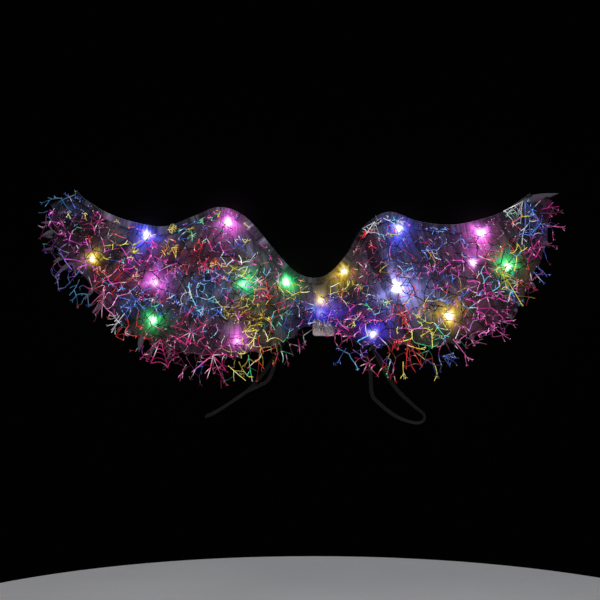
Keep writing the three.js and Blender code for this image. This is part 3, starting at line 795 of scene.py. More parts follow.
def thicken(piece, thickness):
    """Gives a sheet its thickness, half to each side."""
    wall = piece.modifiers.new("Cloth", "SOLIDIFY")
    wall.thickness = thickness
    wall.offset = 0
    wall.use_even_offset = False


def mesh_area(piece):
    """The area of a piece's own faces, before its modifiers."""
    area = np.empty(len(piece.data.polygons))
    piece.data.polygons.foreach_get("area", area)
    return float(area.sum())


# Finishes, and the spans that their patterns mostly keep to

CLOUDS = (0.3, 0.7)
STREAKS = (0.3, 0.75)
FOLD_LIGHT_SPAN = (0.36, 0.64)
SWIRLS = (0.35, 0.65)
WHOLE = (0.0, 1.0)
WEAVE_PITCH = 1.3 * MM
WAVES_PER_PITCH = 2 / TURN
NET_THREAD = (0.06, 0.2)
LENS_PALE = 0.45
CASE_MOTTLE = (0.86, 0.82, 0.83)


class Finish:
    """A material in the making: one Principled shader, with nodes that feed its sockets. Its own glow
    doesn't light other pieces by itself."""

    def __init__(self, name, **sockets):
        self.material = bpy.data.materials.new(name)
        self.material.use_nodes = True
        self.tree = self.material.node_tree
        self.shader = self.tree.nodes["Principled BSDF"]
        self.set(**sockets)
        if "Emission_Strength" in sockets:
            self.material.cycles.emission_sampling = "NONE"

    def feed(self, socket, value):
        """Links a node's output to a socket, or sets the socket's own value."""
        if isinstance(value, bpy.types.NodeSocket):
            self.tree.links.new(value, socket)
        else:
            socket.default_value = value

    def set(self, **sockets):
        """Feeds the shader's sockets, whose names are written with _ for a space."""
        for socket, value in sockets.items():
            self.feed(self.shader.inputs[socket.replace("_", " ")], value)

    def node(self, kind, inputs=None, output=0, **settings):
        """Adds a node with its settings and inputs, and gives one of its outputs."""
        made = self.tree.nodes.new("ShaderNode" + kind)
        for key, value in settings.items():
            setattr(made, key, value)
        for socket, value in (inputs or {}).items():
            self.feed(made.inputs[socket], value)
        return made.outputs[output]

    def product(self, first, second):
        """One number times another."""
        return self.node("Math", {0: first, 1: second}, operation="MULTIPLY")

    def scaled(self, colour, share):
        """A colour times a number."""
        return self.node("VectorMath", {0: colour, "Scale": share}, operation="SCALE")

    def blend(self, share, low, high):
        """The colour a share of the way from one to another."""
        return self.node("Mix", {0: share, 6: (*low, 1), 7: (*high, 1)}, 2, data_type="RGBA")

    def range(self, value, low, high, span=CLOUDS):
        """A number that keeps to a span, moved to run from low to high."""
        inputs = {"Value": value, "From Min": span[0], "From Max": span[1], "To Min": low, "To Max": high}
        return self.node("MapRange", inputs)

    def noise(self, scale, detail=2.0, place=None):
        """Soft clouds of a scale, from 0 to 1, on the object's own place in metres or another."""
        place = place or self.node("TexCoord", output="Object")
        return self.node("TexNoise", {"Vector": place, "Scale": scale, "Detail": detail}, "Fac")

    def stripes(self, place, direction, scale, distortion, detail=2.0):
        """Soft stripes across X or Y, from 0 to 1."""
        inputs = {"Vector": place, "Scale": scale, "Distortion": distortion, "Detail": detail}
        return self.node("TexWave", inputs, "Fac", bands_direction=direction)

    def weave(self, pitch):
        """A plain weave: threads down times threads across, each a sine of the pitch."""
        place = self.cloth_uv(1 / pitch, 1 / pitch)
        down, across = (
            self.stripes(place, way, WAVES_PER_PITCH, distortion=0.6, detail=1.0) for way in "XY"
        )
        return self.product(down, across)

    def bump(self, height, strength, distance):
        """Feeds a height to the shader's normal, and gives the finished material."""
        self.set(Normal=self.node("Bump", {"Height": height, "Strength": strength, "Distance": distance}))
        return self.material

    def attribute(self, name, output="Color"):
        """A value that the mesh holds at each point."""
        return self.node("Attribute", output=output, attribute_name=name)

    def cloth_uv(self, across=1.0, down=1.0):
        """The cloth's own coordinates in metres, times a number each way."""
        place = self.node("UVMap", uv_map="cloth")
        return self.node("Mapping", {"Vector": place, "Scale": (across, down, 1)})


def organza_finish(cloth):
    """Sheer black organza: painted light and shade in strips and creases, fine streaks along them, painted
    light in soft patches over its folds, and the light of the lamps that soaks into it, painted as its glow."""
    base = tuple(linear(cloth.organza_colour))
    finish = Finish(
        "organza", Specular_IOR_Level=0.12, Sheen_Weight=0.04, Sheen_Roughness=0.4, Emission_Strength=1.0
    )
    # The painted light and shade alone, which also scales the painted glow of the lamps.
    tone = finish.attribute("shade", "Fac")
    streak = finish.noise(1.0, 3.0, finish.cloth_uv(420, 26))
    cloud = finish.noise(1.0, place=finish.cloth_uv(38, 38))
    weave = finish.weave(WEAVE_PITCH)
    # The cloth's colour times its painted light and shade, tinted by the foil's hues.
    thread = finish.node("VectorMath", {0: finish.attribute("shade"), 1: base}, operation="MULTIPLY")
    # Painted light in soft patches over the cloth's folds.
    painted_fold_light = finish.range(cloud, 0.35, 1.9, FOLD_LIGHT_SPAN)
    patchy = finish.product(finish.range(streak, 0.6, 1.6, STREAKS), painted_fold_light)
    cover = finish.product(finish.range(weave, 0.95, 1.06, WHOLE), finish.range(cloud, 0.94, 1.05))
    soaked = finish.product(finish.range(tone, 0.25, 1.2, (0, 1.5)), finish.range(streak, 0.6, 1.3, STREAKS))
    finish.set(
        Base_Color=finish.scaled(thread, patchy),
        Alpha=finish.product(cover, cloth.organza_cover),
        Emission_Color=finish.scaled(finish.attribute("glow"), soaked),
        Roughness=finish.range(cloud, 0.42, 0.6),
    )
    return finish.bump(weave, strength=0.25, distance=0.15 * MM)


def tulle_finish(cloth):
    """Web tulle: a fine net of six-sided holes, tinted by the foil worked into it, that catches some light
    of the lamps."""
    finish = Finish("web_tulle", Specular_IOR_Level=0.04, Roughness=0.45, Emission_Strength=0.45)
    net = finish.node(
        "TexVoronoi",
        {"Vector": finish.cloth_uv(520, 520), "Scale": 1.0, "Randomness": 0.25},
        "Distance",
        feature="DISTANCE_TO_EDGE",
        voronoi_dimensions="2D",
    )
    cloud = finish.noise(1.0, 3.0, finish.cloth_uv(60, 45))
    thread = finish.range(net, 1.0, 0.45, NET_THREAD)
    cover = finish.product(thread, finish.range(cloud, 0.15, 1.9))
    finish.set(
        Base_Color=finish.scaled(finish.attribute("tint"), finish.range(cloud, 0.5, 1.6)),
        Alpha=finish.product(cover, cloth.tulle_cover),
        Emission_Color=finish.attribute("glow"),
    )
    return finish.bump(thread, strength=0.3, distance=0.1 * MM)


def foil_finish():
    """Metallic foil in the colour of each strand, which also glows in that colour as painted light, with
    small dents that break its shine.
    """
    finish = Finish("web_foil", Metallic=0.4, Emission_Strength=0.45)
    foil = finish.attribute("foil")
    dents = finish.noise(900)
    finish.set(
        Base_Color=finish.scaled(foil, finish.range(dents, 0.7, 1.25)),
        Emission_Color=foil,
        Roughness=finish.range(dents, 0.25, 0.48),
    )
    return finish.bump(dents, strength=0.4, distance=0.3 * MM)


def elastic_finish(fittings):
    """Woven elastic: ribs along the band crossed by fine picks, matte, and lighter on the raised ribs than
    between them.
    """
    base = tuple(linear(fittings.elastic_colour))
    finish = Finish("elastic", Specular_IOR_Level=0.2, Sheen_Weight=0.05, Sheen_Roughness=0.5)
    ribs = finish.stripes(finish.cloth_uv(), "Y", scale=310, distortion=0.4)
    picks = finish.stripes(finish.cloth_uv(), "X", scale=260, distortion=0.8)
    height = finish.node("Math", {0: ribs, 1: finish.product(picks, 0.6)}, operation="ADD")
    worn = finish.noise(60, 3.0)
    tone = finish.product(finish.range(height, 0.45, 1.5, (0, 1.6)), finish.range(worn, 0.7, 1.3))
    finish.set(Base_Color=finish.scaled(base, tone), Roughness=finish.range(worn, 0.72, 0.9))
    return finish.bump(height, strength=0.6, distance=0.3 * MM)


def coated_finish(name, colour, roughness):
    """Coated wire and thread: a half metallic ground under an uneven lacquer."""
    finish = Finish(name, Metallic=0.5)
    lacquer = finish.noise(700)
    finish.set(
        Base_Color=finish.scaled(tuple(linear(colour)), finish.range(lacquer, 0.6, 1.5)),
        Roughness=finish.range(lacquer, roughness - 0.1, roughness + 0.15),
    )
    return finish.bump(lacquer, strength=0.2, distance=0.1 * MM)


def lens_finish(name, colour):
    """A clear resin drop lit from inside, brightest in swirls of its cast resin."""
    light = linear(colour)
    finish = Finish(name, Roughness=0.2, Coat_Weight=0.4, Coat_Roughness=0.1, Emission_Strength=7.0)
    swirl = finish.noise(420)
    resin = finish.blend(finish.range(swirl, 0, 1, SWIRLS), light, mixed(light, 1.0, LENS_PALE))
    finish.set(Base_Color=resin, Emission_Color=resin)
    return finish.bump(swirl, strength=0.15, distance=0.2 * MM)


def case_finish(fittings):
    """Moulded plastic: a fine spark-eroded grain, a slight warm mottle and handling marks."""
    base = linear(fittings.case_colour)
    finish = Finish("case_plastic", IOR=1.5)
    grain = finish.noise(1600)
    mottle = finish.noise(110, 4.0)
    finish.set(
        Base_Color=finish.blend(finish.range(mottle, 0, 1), base * CASE_MOTTLE, base),
        Roughness=finish.range(mottle, 0.38, 0.56),
    )
    return finish.bump(grain, strength=0.12, distance=0.1 * MM)


def floor_finish(stage):
    """Matte paper floor with a faint unevenness."""
    finish = Finish("floor_paper", Roughness=0.85)
    cloud = finish.noise(5.0, 4.0)
    finish.set(Base_Color=finish.scaled(tuple(linear(stage.floor_colour)), finish.range(cloud, 0.96, 1.03)))
    return finish.bump(finish.noise(500), strength=0.05, distance=0.2 * MM)


# Organza

ORGANZA_STATIONS = 470
FLAP_ROWS = 5
ROUND_ROWS = 8
TUCK_ROWS = 5
BODY_ROWS = 56
ORGANZA_THICK = 0.35 * MM
ORGANZA_SCALLOPS = 8

# Pleats: where they open, the width in which their lean changes sides, their peaks and their sways.
PLEAT_OPENS = 0.3
LEAN_TURNS = 60 * MM
PLEAT_PEAKED = 0.6
PLEAT_SWAYS = ((0.35, 47 * MM), (0.2, 19 * MM))

# The flat middle: its half width, the width in which pleats grow beside it, and their height in it.
FLAT_MIDDLE = 52 * MM
FLAT_FADE = 30 * MM
FLAT_SHARE = 0.2

# Ruches of the casing, and the painted light and shade of gathers in the cloth below it.
RUCHE_PITCH = 8.5 * MM
RUCHE_HEIGHT = 0.2 * MM
RUCHE_SWAYS = ((0.6, 2.3 * RUCHE_PITCH), (0.5, 0.9 * RUCHE_PITCH))
GATHER_STRIP = 7.5 * MM
GATHER_DEEP = 6 * MM

# Cloth cut for a length of wing, and the part of it that the pleats take up.
ORGANZA_FULLNESS = 1.3
PLEATS_TAKE = 1.1

# The cloth's painted light and shade, and its tint: the painted shade of creases, the tint of the foil's
# hues, the least painted light, and where it fades darker towards the tips, the middle and the hem.
CREASE_SHADE = 0.96
CREASE_SHADE_LEAST = 0.35
SHADE_TINT = 0.34
LEAST_TONE = 0.55
TIP_FADE = 55 * MM
TIP_TONE = 0.3
MIDDLE_FADE = 60 * MM
MIDDLE_TONE = 0.5
HEM_FADE = 45 * MM
HEM_TONE = 0.5

# Patches of painted light on the cloth: x and z of a patch's middle, reach along and down, and the light
# added in thousandths.
PAINTED_LIGHT_PATCHES = MM * np.array(
    [
        (-150, 20, 120, 80, 1550),
        (-110, 95, 70, 50, 1500),
        (175, 50, 110, 60, 450),
        (-300, 118, 40, 20, 1300),
    ]
)


class Strips(NamedTuple):
    """Strips of cloth between creases, with painted light and shade: the crease's place and narrowness as
    shares of a strip, the darkest and lightest painted light of a strip, and the number that picks each
    strip's painted light."""

    crease: float
    narrow: float
    tones: tuple
    kind: int


# Painted light and shade in strips: of the casing's ruches, of the gathers below the flap, and of the
# pleats.
CASING_STRIPS = Strips(0.75, 0.16, (0.4, 2.6), 4)
GATHER_STRIPS = Strips(0.3, 0.16, (0.3, 2.2), 7)
PLEAT_STRIPS = Strips(0.72, 0.13, (0.12, 3.3), 3)


def painted_cloth_light(points, along):
    """Painted light on the cloth across the wings: a least level plus the highest of the patches' bells of
    the distance from their middles, fading towards the tips and the middle of the wings."""
    middle, reach, tone = PAINTED_LIGHT_PATCHES[:, :2], PAINTED_LIGHT_PATCHES[:, 2:4], PAINTED_LIGHT_PATCHES[:, 4]
    offset = (points[..., None, [0, 2]] - middle) / reach
    tone = LEAST_TONE + (tone * np.exp(-np.sum(offset**2, axis=-1))).max(axis=-1)
    tone = tone * mixed(MIDDLE_TONE, 1.0, ease(np.abs(along - CENTRE) / MIDDLE_FADE))
    return tone * mixed(TIP_TONE, 1.0, ease(np.minimum(along, ALONG[-1] - along) / TIP_FADE))


def painted_strip_shading(phase, strips):
    """Painted light and shade of the cloth in its strips: each strip from crease to crease has its own
    painted light, with painted shade towards its creases by a bell of the distance from them."""
    strip = phase - strips.crease
    off = (strip + 0.5) % 1 - 0.5
    # The painted shade of a crease, deeper at some creases than at others.
    crease = CREASE_SHADE * np.exp(-((off / strips.narrow) ** 2))
    crease = crease * mixed(CREASE_SHADE_LEAST, 1.0, jitter(np.floor(strip + 0.5), strips.kind))
    return mixed(*strips.tones, jitter(np.floor(strip), strips.kind + 1)) * (1 - crease)


def organza_surface(cloth):
    """The organza's middle surface on a grid of stations along the wings and rows round the casing and
    down the ribs. A row of the casing is the flap, half a circle over the wire, or the tuck behind it, all
    square to the wire. A row of the body lies on the rib and is raised by a leaning sine of the pleats
    that opens below the casing. Gives points, pattern coordinates and the painted light and shade."""
    along = np.linspace(0, ALONG[-1], ORGANZA_STATIONS)[:, None]
    rib = rib_at(span_at(along))
    flap, edge, down, square = rib.flap, rib.edge, rib.down, rib.square
    flap_share = np.linspace(0, 1, FLAP_ROWS, endpoint=False)
    round_turn = np.linspace(0, np.pi, ROUND_ROWS, endpoint=False)
    tuck_share = np.linspace(0, 1, TUCK_ROWS, endpoint=False)
    off_wire = np.concatenate(
        [flap * (1 - flap_share), 0 * flap - CASING_RADIUS * np.sin(round_turn), flap * tuck_share], axis=1
    )
    casing_front = np.concatenate(
        [
            mixed(FLAP_STANDS, CASING_RADIUS, ease(flap_share)),
            CASING_RADIUS * np.cos(round_turn),
            -CASING_RADIUS * (1 - ease(tuck_share)),
        ]
    )
    ruche = swayed(along / RUCHE_PITCH, along, RUCHE_SWAYS)
    ruche_height = RUCHE_HEIGHT * np.sin(TURN * ruche)
    casing = stand(edge + square * off_wire[..., None], casing_front + ruche_height * np.sign(casing_front))
    # The painted light and shade of the casing's ruches.
    painted_casing_shading = painted_strip_shading(ruche, CASING_STRIPS) * np.ones_like(off_wire)

    fall = np.linspace(0, 1, BODY_ROWS)
    opened = ease(fall / PLEAT_OPENS)
    reach = rib.length + rib.past - scallop_bite(cloth, along, ORGANZA_SCALLOPS)
    distance = mixed(flap, reach, fall)
    lean = cloth.pleat_lean * np.tanh((along - CENTRE) / LEAN_TURNS)
    phase = swayed((along - lean * distance) / cloth.pleat_pitch, along, PLEAT_SWAYS)
    place = edge + down * distance[..., None] + (square - down) * (flap * (1 - opened))[..., None]
    level = mixed(FLAT_SHARE, 1.0, ease((np.abs(place[..., 0]) - FLAT_MIDDLE) / FLAT_FADE))
    height = cloth.pleat_height * rib.flatness * opened * level
    body = stand(place, height * np.sin(TURN * phase + PLEAT_PEAKED * np.sin(TURN * phase)))
    # Painted light and shade of the gathers below the flap and of the pleats, darker towards the hem.
    near_flap = np.exp(-(((distance - flap) / GATHER_DEEP) ** 2))
    painted_gather_shading = painted_strip_shading(along / GATHER_STRIP, GATHER_STRIPS)
    painted_body_shading = mixed(painted_strip_shading(phase, PLEAT_STRIPS), painted_gather_shading, near_flap)
    painted_body_shading = painted_body_shading * mixed(HEM_TONE, 1.0, ease((reach - distance) / HEM_FADE))

    points = np.concatenate([casing, body], axis=1)
    tone = np.concatenate([painted_casing_shading, painted_body_shading], axis=1) * painted_cloth_light(points, along)
    run = np.concatenate([off_wire - 2 * flap, distance], axis=1)
    return points, np.stack([along * np.ones_like(run), run], axis=-1), tone


STITCH_PITCH = 5.5 * MM
STITCH_LENGTH = 3.4 * MM
STITCH_WIDTH = 0.6 * MM
STITCH_IN = 1.6 * MM
STITCH_ARCH = 0.35 * MM
STITCH_STEPS = 5
STITCH_CORNERS = 5


def casing_stitches():
    """Stitches that hold the casing's flap: short bars along a line just inside the flap's edge, arched a
    little off the cloth between their ends."""
    middle = np.arange(STITCH_PITCH, ALONG[-1] - STITCH_PITCH, STITCH_PITCH)[:, None]
    run = np.linspace(-0.5, 0.5, STITCH_STEPS)
    rib = rib_at(span_at(middle + STITCH_LENGTH * run))
    off_wire = rib.flap - STITCH_IN
    front = mixed(FLAP_STANDS, CASING_RADIUS, ease(STITCH_IN / rib.flap)) + RUCHE_HEIGHT
    paths = stand(rib.edge + rib.square * off_wire[..., None], front + STITCH_ARCH * (1 - 4 * run**2))
    return sweep(paths, forwards(paths), round_ring(STITCH_CORNERS), STITCH_WIDTH)


THREAD_COLOUR = (0.42, 0.42, 0.46)
THREAD_ROUGH = 0.7
WIRE_COLOUR = (0.10, 0.10, 0.11)
WIRE_ROUGH = 0.4


class WINGS_OT_organza(bpy.types.Operator):
    """Make the pleated organza with its casing round the wire, and the casing's stitches"""

    bl_idname = "wings.organza"
    bl_label = "Organza"

    def execute(self, context):
        settings = context.scene.costume_wings
        points, uv, tone = organza_surface(settings.cloth)
        hue = hue_shares(points[..., [0, 2]]) @ palette(settings.foil)
        # The painted light and shade of the cloth, tinted by the foil's hues.
        shade = tone[..., None] * mixed(1.0, hue / hue.mean(axis=-1, keepdims=True), SHADE_TINT)
        panel = add_piece(
            "organza_cloth",
            points,
            grid_faces(*points.shape[:2]),
            organza_finish(settings.cloth),
            "organza",
            replaced=["organza_panel"],
            uv=uv,
            colours={"glow": lamp_glow(settings.lights, points), "shade": shade},
        )
        thicken(panel, ORGANZA_THICK)
        thread = coated_finish("casing_thread", THREAD_COLOUR, THREAD_ROUGH)
        stitches = add_piece("casing_stitches", *casing_stitches(), thread, "organza")
        wire = frame["nodes"]["frame_wire"].data.materials
        wire.clear()
        wire.append(coated_finish("coated_wire", WIRE_COLOUR, WIRE_ROUGH))
        ORGANZA_FULLNESS * mesh_area(panel) / PLEATS_TAKE
        return {"FINISHED"}


# Web tulle

TULLE_STATIONS_PER_FOLD = 26
TULLE_ROWS = 26
TULLE_THICK = 0.25 * MM
TINT_SHARE = 0.3

# The share of a tier that its scallops leave, and what makes its seam the number that picks them.
TULLE_LEAST = 0.5
SEAM_KINDS = 10

# Tulle cut for a length of wing, and the part of it that the folds leave over.
TULLE_FULLNESS = 1.25
TULLE_LEFT = 0.85


def tulle_grid(wing, tier, cloth):
    """A tier's grid: stations along the wing, and rows from the seam to its scalloped lower edge."""
    along = np.linspace(*wing_ends(wing), wing.folds * TULLE_STATIONS_PER_FOLD + 1)[:, None]
    depth = tier_reach(tier, rib_at(span_at(along)))[1]
    bite = scallop_bite(cloth, along, SEAM_KINDS * tier.seam)
    below = np.maximum(depth - bite, TULLE_LEAST * depth) * np.linspace(0, 1, TULLE_ROWS)
    along = along * np.ones_like(below)
    return tulle_point(wing, tier, along, below), np.stack([along, below], axis=-1)


def tier_name(kind, wing, tier):
    """The name of a kind of piece on a tier."""
    return f"{kind}_{tier.name}_{wing.name}"


class WINGS_OT_tulle(bpy.types.Operator):
    """Make the gathered tiers of web tulle on the front of each wing"""

    bl_idname = "wings.tulle"
    bl_label = "Web tulle"

    def execute(self, context):
        settings = context.scene.costume_wings
        material = tulle_finish(settings.cloth)
        ground = linear(settings.cloth.tulle_colour)
        hues = palette(settings.foil)
        for wing in WINGS:
            for tier in TIERS:
                points, uv = tulle_grid(wing, tier, settings.cloth)
                tint = mixed(ground, hue_shares(points[..., [0, 2]]) @ hues, TINT_SHARE)
                tulle = add_piece(
                    tier_name("tulle", wing, tier),
                    points,
                    grid_faces(*points.shape[:2]),
                    material,
                    "web_tulle",
                    replaced=[tier_name("ruffle", wing, tier)],
                    uv=uv,
                    colours={"tint": tint, "glow": lamp_glow(settings.lights, points)},
                )
                thicken(tulle, TULLE_THICK)
        return {"FINISHED"}


# Foil strands, laid out across the front as paths in x and z

STRAND_POINTS = 5
STRAND_RING = ((0.5, 0.0), (0.0, 0.3), (-0.5, 0.0))
STRAND_TAPER = np.linspace(1.0, 0.75, STRAND_POINTS)
STRAND_CLEAR = 0.3 * MM


class Strands(NamedTuple):
    """Strands: their paths across the front, the motif that each belongs to, and its share of the width."""

    paths: np.ndarray
    motif: np.ndarray
    width: np.ndarray

    def only(self, kept):
        """The strands that are kept."""
        return Strands(*(part[kept] for part in self))


def together(*groups):
    """Groups of strands as one."""
    return Strands(*(np.concatenate(parts) for parts in zip(*groups)))


def spur(start, heading, length, bend):
    """Strands from their starts along their headings, which swing aside by the bend times the square of
    the share of the length run."""
    run = np.linspace(0, 1, STRAND_POINTS)
    ahead = (run * length[:, None])[..., None]
    aside = (bend[:, None] * length[:, None] * run**2)[..., None]
    forward = pointing(heading)[:, None]
    return start[:, None] + (ahead * forward + aside * quarter_turn(forward))


def tie(first, last, bow):
    """Strands between two points, bowed to one side by a share of their length: a straight line, plus four
    times the bow times the share run times the share left."""
    run = np.linspace(0, 1, STRAND_POINTS)[:, None]
    step = (last - first)[:, None]
    return first[:, None] + step * run + quarter_turn(step) * (4 * bow[:, None, None] * run * (1 - run))


def path_place(paths, share):
    """The point at a share of each path, and the path's heading there."""
    place = np.broadcast_to(share, len(paths)) * (STRAND_POINTS - 1)
    row = np.minimum(place.astype(int), STRAND_POINTS - 2)
    pick = np.arange(len(paths))
    here = paths[pick, row]
    step = paths[pick, row + 1] - here
    return here + step * (place - row)[:, None], bearing(step)


# Barbs, with their angles from the strand's direction.
BARB_LENGTH = (2.0 * MM, 4.2 * MM)
BARB_WIDTH = 0.75
BACK_SHARE = 0.5
BARB_BACK = 2.35
BARB_ON = 0.6


def barbs(chance, paths, motif, size=1.0, width=BARB_WIDTH):
    """A pair of barbs at the end of each path, which point back, or on like a fork."""
    tip, onward = path_place(paths, 1.0)
    opening = np.where(chance.random(len(paths)) < BACK_SHARE, BARB_BACK, BARB_ON)
    length = size * chance.uniform(*BARB_LENGTH, len(paths))
    return [
        Strands(spur(tip, onward + way * opening, length, 0 * opening), motif, np.full(len(paths), width))
        for way in (1, -1)
    ]


# Forked strands: stems and their side strands.
STEM_BEND = 0.16
SIDE_PLACES = (0.25, 0.92)
SIDE_LENGTHS = (0.55, 0.3)
SIDE_UNEVEN = (0.55, 1.15)
SIDE_ANGLES = (0.5, 1.1)
SIDE_CURVE = 0.14
SIDE_WIDTH = 0.85


def forked(chance, root, heading, length, branches, barbed):
    """Forked strands: a stem from each root that bends a little, side strands that leave it by turns to
    the left and right, and barbs on a share of the ends."""
    count = len(root)
    stem = spur(root, heading, length, chance.normal(0, STEM_BEND, count))
    motif = np.repeat(np.arange(count), branches)
    side = np.tile(np.resize([1, -1], branches), count) * np.repeat(chance.choice([1, -1], count), branches)
    place = chance.uniform(*SIDE_PLACES, len(motif))
    start, leaving = path_place(stem[motif], place)
    reach = length[motif] * mixed(*SIDE_LENGTHS, place) * chance.uniform(*SIDE_UNEVEN, len(motif))
    leaving = leaving + side * chance.uniform(*SIDE_ANGLES, len(motif))
    branch = spur(start, leaving, reach, -side * SIDE_CURVE)
    whole = together(
        Strands(stem, np.arange(count), np.ones(count)),
        Strands(branch, motif, np.full(len(motif), SIDE_WIDTH)),
    )
    tipped = np.flatnonzero(chance.random(len(whole.paths)) < barbed)
    return together(whole, *barbs(chance, whole.paths[tipped], whole.motif[tipped]))


# Bursts of rays.
RAY_STRAY = 0.16
RAY_UNEVEN = (0.6, 1.15)
RAYS = 6
RAY_WIDTH = 0.9


def burst(chance, hub, reach):
    """Bursts: rays round each hub, evenly turned but for some chance, and of uneven length."""
    motif = np.repeat(np.arange(len(hub)), RAYS)
    turn = np.tile(TURN * np.arange(RAYS) / RAYS, len(hub)) + chance.normal(0, RAY_STRAY, len(motif))
    turn = turn + (TURN * chance.random(len(hub)))[motif]
    length = reach[motif] * chance.uniform(*RAY_UNEVEN, len(motif))
    return Strands(spur(hub[motif], turn, length, 0 * turn), motif, np.full(len(motif), RAY_WIDTH))


# Webs: spokes, and rings of threads across them.
SPOKE_STRAY = 0.06
SPOKE_UNEVEN = (0.75, 1.15)
SPOKE_BEND = 0.05
SPOKE_WIDTH = 1.25
RING_STRAY = 0.03
RING_SHORT = 0.1
RING_BOW = 0.2
WEB_WHOLE = 0.75


def web(chance, hub, reach, turn, spread, spokes, rings):
    """One web: spokes that fan out from a hub over the spread, and rings of threads from spoke to spoke
    that are drawn in towards the hub, with some threads gone."""
    fan = turn + spread * np.linspace(-0.5, 0.5, spokes) + chance.normal(0, SPOKE_STRAY, spokes)
    length = reach * chance.uniform(*SPOKE_UNEVEN, spokes)
    spoke = spur(np.tile(hub, (spokes, 1)), fan, length, chance.normal(0, SPOKE_BEND, spokes))
    ring = np.arange(1, rings + 1)[:, None] / (rings + RING_SHORT)
    ring = ring + chance.normal(0, RING_STRAY, (rings, spokes))
    corner = hub + ring[..., None] * (pointing(fan) * length[:, None])
    first, last = corner[:, :-1].reshape(-1, 2), corner[:, 1:].reshape(-1, 2)
    thread = np.flatnonzero(chance.random(len(first)) < WEB_WHOLE)
    paths = np.concatenate([spoke, tie(first[thread], last[thread], np.full(len(thread), RING_BOW))])
    width = np.where(np.arange(len(paths)) < spokes, SPOKE_WIDTH, 1.0)
    return Strands(paths, np.zeros(len(paths), int), width)


EDGE_POINTS = 300


def tier_box(wing, tier):
    """The least and the greatest x and z of a tier."""
    along = np.linspace(*wing_ends(wing), EDGE_POINTS)
    rib = rib_at(span_at(along))
    seam, depth = tier_reach(tier, rib)
    start = seam * rib.length
    edges = np.concatenate([rib_place(along, start), rib_place(along, start + depth)])
    return edges.min(axis=0), edges.max(axis=0)


def tier_place(tier, place):
    """How far along the wings, and below a tier's seam, places across the front lie."""
    along, down = ribs_through(place)
    rib = rib_at(span_at(along))
    return along, down - tier_reach(tier, rib)[0] * rib.length


def on_tier(wing, tier, place, past):
    """Whether places across the front lie on a tier, or no further than a distance past its lower edge."""
    start, end = wing_ends(wing)
    along, below = tier_place(tier, place)
    depth = tier_reach(tier, rib_at(span_at(along)))[1]
    return (along > start) & (along < end) & (below > 0) & (below < depth + past)


def threads_between(knots):
    """Pairs of knots that a thread joins: those with no third knot in the circle across the thread."""
    gap = np.sum((knots[:, None] - knots) ** 2, axis=-1)
    crowded = np.any(gap[:, None] + gap[None] < gap[:, :, None] * (1 - 1e-9), axis=-1)
    return np.argwhere(np.triu(~crowded, 1)).T


# Networks of knots and threads.
KNOT_STRAY = 0.36
THREAD_BOW = 0.07
THREAD_WIDTHS = (0.55, 1.45)


def network(chance, wing, tier, spacing, kept):
    """An open web: knots of a square lattice over a tier, moved far by chance, and a share of the threads
    between them. Gives the strands and the knots."""
    across, up = (np.arange(least, most, spacing) for least, most in zip(*tier_box(wing, tier)))
    knot = np.stack(np.meshgrid(across, up), axis=-1).reshape(-1, 2)
    knot = knot + spacing * chance.normal(0, KNOT_STRAY, knot.shape)
    knot = knot[on_tier(wing, tier, knot, 0)]
    first, last = threads_between(knot)
    pick = chance.random(len(first)) < kept
    first, last = first[pick], last[pick]
    paths = tie(knot[first], knot[last], chance.normal(0, THREAD_BOW, len(first)))
    return Strands(paths, first, chance.uniform(*THREAD_WIDTHS, len(first))), knot


# Twigs and spikes along threads.
TWIG_PLACES = (0.3, 0.8)
TWIG_ANGLES = (0.6, 1.2)
TWIG_CURVE = 0.12
TWIG_REACH = (3 * MM, 8 * MM)
TWIG_WIDTH = 0.8
SPIKE_REACH = (1.5 * MM, 4.5 * MM)
SPIKE_WIDTH = 0.8


def twigs(chance, strands, kept):
    """Side strands on a share of the strands: each leaves its strand part of the way along, to one side."""
    pick = np.flatnonzero(chance.random(len(strands.motif)) < kept)
    start, leaving = path_place(strands.paths[pick], chance.uniform(*TWIG_PLACES, len(pick)))
    side = chance.choice([1, -1], len(pick))
    length = chance.uniform(*TWIG_REACH, len(pick))
    leaving = leaving + side * chance.uniform(*TWIG_ANGLES, len(pick))
    paths = spur(start, leaving, length, -side * TWIG_CURVE)
    return Strands(paths, strands.motif[pick], TWIG_WIDTH * strands.width[pick])


def spikes(chance, strands):
    """Short spikes where threads meet: one from the first end of each strand, turned by chance."""
    turn = TURN * chance.random(len(strands.motif))
    length = chance.uniform(*SPIKE_REACH, len(turn))
    paths = spur(strands.paths[:, 0], turn, length, 0 * turn)
    return Strands(paths, strands.motif, np.full(len(turn), SPIKE_WIDTH))


TRIALS = 1500


def scattered(chance, wing, tier, count):
    """Chance places on a tier, spread evenly over its area."""
    trial = chance.uniform(*tier_box(wing, tier), (TRIALS, 2))
    return trial[on_tier(wing, tier, trial, 0)][:count]


# Painted shine of the strands, its painted glints, and its dimming at the tips.
SHINE_RARE = 1.8
SHINE_UNEVEN = (0.4, 1.6)
GLINT_SHARE = 0.13
GLINT_PALE = 0.55
TIP_SHINE = 0.65
TIP_DIM = 85 * MM


def on_tulle(wing, tier, paths):
    """Paths carried onto a tier of tulle, a little in front of it. Gives their points and the directions
    that the tulle faces there."""
    along, below = tier_place(tier, paths)
    step = 0.2 * MM
    tulle = tulle_point(wing, tier, along, np.maximum(below, 0))
    beside = tulle_point(wing, tier, along + step, below) - tulle_point(wing, tier, along - step, below)
    under = tulle_point(wing, tier, along, below + step) - tulle_point(wing, tier, along, below - step)
    normals = unit(np.cross(under, beside))
    points = np.stack([paths[..., 0], tulle[..., 1], paths[..., 1]], axis=-1)
    return points + STRAND_CLEAR * normals, normals


